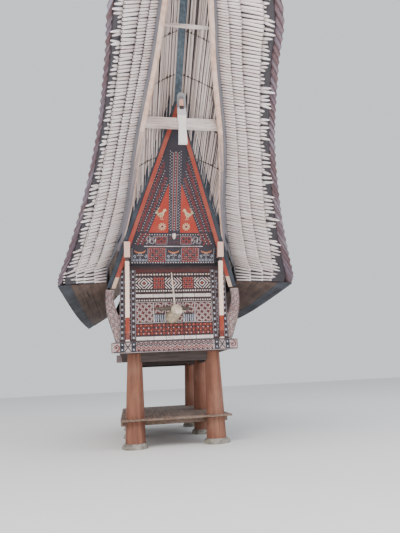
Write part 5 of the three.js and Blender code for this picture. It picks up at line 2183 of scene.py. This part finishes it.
@dataclass
class HeadOrnament:
    """Buffalo head with long horns on the wall, its leaning pole, and the small skull on the gable.

    A limb's station is a place and a radius. A station of a small part is a place on the right side, a half
    width and a half height.
    """

    neck_limb: Path = (
        (-0.09, -2.465, 2.84, 0.104), (-0.09, -2.52, 2.84, 0.112), (-0.075, -2.64, 2.86, 0.158),
        (-0.035, -2.76, 2.91, 0.146), (0.0, -2.84, 2.97, 0.104),
    )
    face_limb: Path = (
        (0.0, -2.77, 3.02, 0.06), (0.0, -2.84, 3.012, 0.118), (0.004, -2.93, 2.99, 0.126),
        (0.022, -3.01, 2.95, 0.104), (0.034, -3.07, 2.918, 0.09), (0.044, -3.105, 2.902, 0.062),
    )
    left_horn: Path = ((-0.08, -2.88, 3.03, 0.068), (-0.32, -2.892, 3.018, 0.044),
                       (-0.51, -2.9, 3.04, 0.013))
    right_horn: Path = ((0.08, -2.88, 3.03, 0.068), (0.23, -2.892, 3.013, 0.044),
                        (0.346, -2.9, 3.022, 0.013))
    brow: Path = (
        (0.09, -2.93, 3.055, 0.026, 0.022), (0.108, -2.945, 3.05, 0.024, 0.02),
        (0.12, -2.955, 3.045, 0.008, 0.006),
    )
    ear: Path = (
        (0.09, -2.83, 3.0, 0.02, 0.012), (0.17, -2.835, 2.975, 0.032, 0.016),
        (0.225, -2.84, 2.95, 0.006, 0.004),
    )
    nostril: Path = (
        (0.045, -3.07, 2.945, 0.018, 0.014), (0.045, -3.1, 2.935, 0.016, 0.012),
        (0.045, -3.11, 2.925, 0.006, 0.004),
    )
    mouth: Path = (
        (-0.035, -3.055, 2.868, 0.005, 0.004), (0.0, -3.1, 2.86, 0.005, 0.004),
        (0.04, -3.115, 2.856, 0.005, 0.004),
        (0.08, -3.1, 2.86, 0.005, 0.004), (0.11, -3.055, 2.868, 0.005, 0.004),
    )
    eye: Path = (
        (0.104, -2.955, 3.045, 0.012, 0.012), (0.108, -2.975, 3.04, 0.012, 0.012),
        (0.109, -2.985, 3.036, 0.005, 0.005),
    )
    skull_rows: Path = (
        (0.763, 0.02, 0.012), (0.752, 0.042, 0.036), (0.722, 0.054, 0.046), (0.69, 0.05, 0.044),
        (0.662, 0.036, 0.038), (0.636, 0.028, 0.032), (0.617, 0.014, 0.02),
    )

    def tube(self, shape: Shape, path: Path, widths: Point, heights: Point, sides: int = 20) -> None:
        """Adds a tapered limb of oval section along a path.

        Args:
            shape: the shape that takes it.
            path: middle of each ring.
            widths: half width of each ring.
            heights: half height of each ring.
            sides: points in each ring.
        """
        points = np.array(path, float)
        rings = []
        for point, step, width, height in zip(points, np.gradient(points, axis=0), widths, heights):
            forward = step / np.linalg.norm(step)
            guide = np.array([1.0, 0.0, 0.0]) if abs(forward[0]) < 0.7 else np.array([0.0, 1.0, 0.0])
            up = np.cross(forward, guide)
            up /= np.linalg.norm(up)
            side = np.cross(up, forward)
            rings.append(np.array([point + side * width * c + up * height * s for c, s in circle(sides)]))
        shape.rings(rings)

    def limb(self, shape: Shape, stations: Path, flat: float, steps: int, sides: int = 20) -> None:
        """Adds a smooth limb through stations.

        Args:
            shape: the shape that takes it.
            stations: places and radii.
            flat: height of its section as a share of its width.
            steps: number of rings.
            sides: points in each ring.
        """
        curve = PlanCurve(stations)
        rings = np.array([curve.at(t) for t in np.linspace(0.0, 1.0, steps)])
        self.tube(shape, rings[:, :3], rings[:, 3], rings[:, 3] * flat, sides)

    def part(self, shape: Shape, stations: Path, side: int, sides: int, middle: float = 0.0) -> None:
        """Adds a small part on one side of a middle."""
        table = np.array(stations)
        table[:, 0] = middle + side * table[:, 0]
        self.tube(shape, table[:, :3], table[:, 3], table[:, 4], sides)

    def one_skin(self, name: str, shape: Shape, finish: Timber) -> Piece:
        """Joins a shape's limbs into one smooth skin."""
        piece = piece_of(name, shape.mesh(name), finish)
        remesh = piece.modifiers.new("one_skin", "REMESH")
        remesh.mode = "VOXEL"
        remesh.voxel_size = 0.009
        soften = piece.modifiers.new("soften", "SMOOTH")
        soften.iterations = 3
        soften.factor = 0.5
        baked(piece)
        piece.data.shade_smooth()
        return piece

    def head(self) -> None:
        """Carved neck and head, with brow, eyes, nostrils and ears."""
        neck, face, marks, nose_middle = Shape(), Shape(), Shape(), 0.03
        self.limb(neck, self.neck_limb, 0.94, 14)
        settle(self.one_skin("carved_buffalo_neck", neck, NECK_WOOD), "head_wood", "buffalo_head")
        self.limb(face, self.face_limb, 0.9, 18)
        self.part(marks, self.mouth, 1, 8)
        for side in HANDS:
            self.part(face, self.brow, side, 12)
            self.part(face, self.ear, side, 12)
            self.part(face, self.nostril, side, 10, nose_middle)
            self.part(marks, self.eye, side, 10)
        settle(self.one_skin("carved_buffalo_head", face, HEAD_WOOD), "head_wood")
        marks.settle("buffalo_mouth_and_eyes", HORN_AND_SHADE, "head_wood", smooth=60)

    def horns(self) -> None:
        """Two long horns that sweep out from behind the brow."""
        shape = Shape()
        for stations in (self.left_horn, self.right_horn):
            self.limb(shape, stations, 0.85, 24, 14)
        shape.settle("buffalo_horns", HORN_AND_SHADE, "head_wood", smooth=50)

    def pole(self) -> None:
        """Leaning pole with a small knob at its top."""
        low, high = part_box("leaning_pole")
        foot = np.array([-0.025, -2.84, low.z + 0.002])
        head = np.array([-0.06, low.y + (high.y - low.y) / 2, high.z - 0.002])
        shares = (0.0, 0.3, 0.6, 0.93, 0.95, 0.97, 0.985, 1.0)
        radii = (0.018, 0.0168, 0.0165, 0.015, 0.011, 0.018, 0.018, 0.008)
        shape = Shape()
        self.tube(shape, [foot + (head - foot) * s for s in shares], radii, radii, 14)
        shape.settle("round_leaning_pole", POLE_WOOD, "weathered_wood", "leaning_pole", smooth=40)

    def skull(self) -> None:
        """Small animal skull: dome, snout, cheekbones, and dark plugs in the eye hollows as painted shade.
        """
        face, centre, least = GABLE, 0.012, 0.002
        shape, hollows = Shape(), Shape()
        shape.rings([
            np.array([face.at(width * c, v, max(centre + depth * s, least)) for c, s in circle(20)])
            for v, width, depth in self.skull_rows
        ])
        piece = piece_of("small_skull", shape.mesh("skull", 60), BONE)
        smooth = piece.modifiers.new("smooth", "SUBSURF")
        smooth.levels = 1
        smooth.render_levels = 1
        baked(piece)
        piece.data.shade_smooth()
        settle(piece, "bone", "gable_skull")
        for side in HANDS:
            eye = face.at(side * 0.023, 0.695, 0.045)
            ring = [eye + face.across * 0.011 * c + face.up * 0.013 * s for c, s in circle(12)]
            hollows.rings([np.array([p + face.out * depth for p in ring]) for depth in (-0.03, 0.004)])
        # the eye hollows are dark plugs: painted shade of the sockets
        hollows.settle("skull_hollows", HORN_AND_SHADE, "bone", smooth=40)

    def build(self) -> None:
        """Builds the head, horns, pole and skull."""
        self.head()
        self.horns()
        self.pole()
        self.skull()


@dataclass(frozen=True)
class Lamp:
    """Large soft square lamp."""

    name: str
    place: tuple[float, float, float]
    aim: tuple[float, float, float]
    size: float
    power: float
    colour: Colour

    def build(self) -> None:
        """Makes the lamp and turns it to its aim."""
        data = bpy.data.lights.new(self.name, "AREA")
        data.shape = "SQUARE"
        data.size = self.size
        data.energy = self.power
        data.color = self.colour[:3]
        lamp = bpy.data.objects.new(self.name, data)
        lamp.location = self.place
        lamp.rotation_euler = (Vector(self.aim) - Vector(self.place)).to_track_quat("-Z", "Y").to_euler()
        bpy.context.scene.collection.objects.link(lamp)


@dataclass
class Studio:
    """Camera at the photograph's viewpoint, soft light and a pale floor."""

    place: tuple[float, float, float] = (-1.093, -12.812, 1.46)
    yaw: float = 9.63
    pitch: float = 14.12
    roll: float = -2.81
    focal_pixels: float = 444.1
    frame_height: float = 533.0
    sensor: float = 36.0
    half_floor: float = 60.0
    sky: Colour = srgb(236, 240, 246)
    sky_strength: float = 1.05
    lamps: tuple[Lamp, ...] = (
        Lamp("sky_key", (-14.0, -20.0, 22.0), (0.0, 0.0, 4.0), 16.0, 8200.0, srgb(255, 250, 244)),
        Lamp("sky_fill", (18.0, -12.0, 14.0), (0.0, 0.0, 4.0), 16.0, 3300.0, srgb(240, 246, 255)),
        Lamp("ground_bounce", (0.0, -11.0, 0.4), (0.0, -3.0, 7.0), 9.0, 1100.0, srgb(255, 248, 240)),
    )

    def camera(self) -> None:
        """Makes the camera."""
        yaw, pitch, roll = (math.radians(a) for a in (self.yaw, self.pitch, self.roll))
        forward = Vector((math.sin(yaw) * math.cos(pitch), math.cos(yaw) * math.cos(pitch),
                          math.sin(pitch)))
        level = Vector((math.cos(yaw), -math.sin(yaw), 0.0))
        upright = level.cross(forward)
        right = level * math.cos(roll) + upright * math.sin(roll)
        up = upright * math.cos(roll) - level * math.sin(roll)
        data = bpy.data.cameras.new("camera")
        data.sensor_width = self.sensor
        data.lens = self.sensor * self.focal_pixels / self.frame_height
        camera = bpy.data.objects.new("camera", data)
        turn = Matrix((right, up, -forward)).transposed().to_4x4()
        camera.matrix_world = Matrix.Translation(self.place) @ turn
        bpy.context.scene.collection.objects.link(camera)
        bpy.context.scene.camera = camera

    def build(self) -> None:
        """Makes the camera, the lamps, the sky and the floor."""
        self.camera()
        for lamp in self.lamps:
            lamp.build()
        world = bpy.data.worlds.new("pale_sky")
        world.use_nodes = True
        background = world.node_tree.nodes["Background"]
        background.inputs["Color"].default_value = self.sky
        background.inputs["Strength"].default_value = self.sky_strength
        bpy.context.scene.world = world
        shape, half = Shape(), self.half_floor
        shape.plate(block(-half, half, -half, half), -0.1, -0.001)
        piece_of("studio_floor", shape.mesh("floor"), FLOOR)


def main() -> None:
    """Builds the studio, the roof, both ends, the side walls, the supports and the ornaments."""
    Studio().build()
    Roof().build()
    for end in End:
        EndFront(end).build()
    SideWalls().build()
    Undercroft().build()
    HeadOrnament().build()


if __name__ == "__main__":
    main()
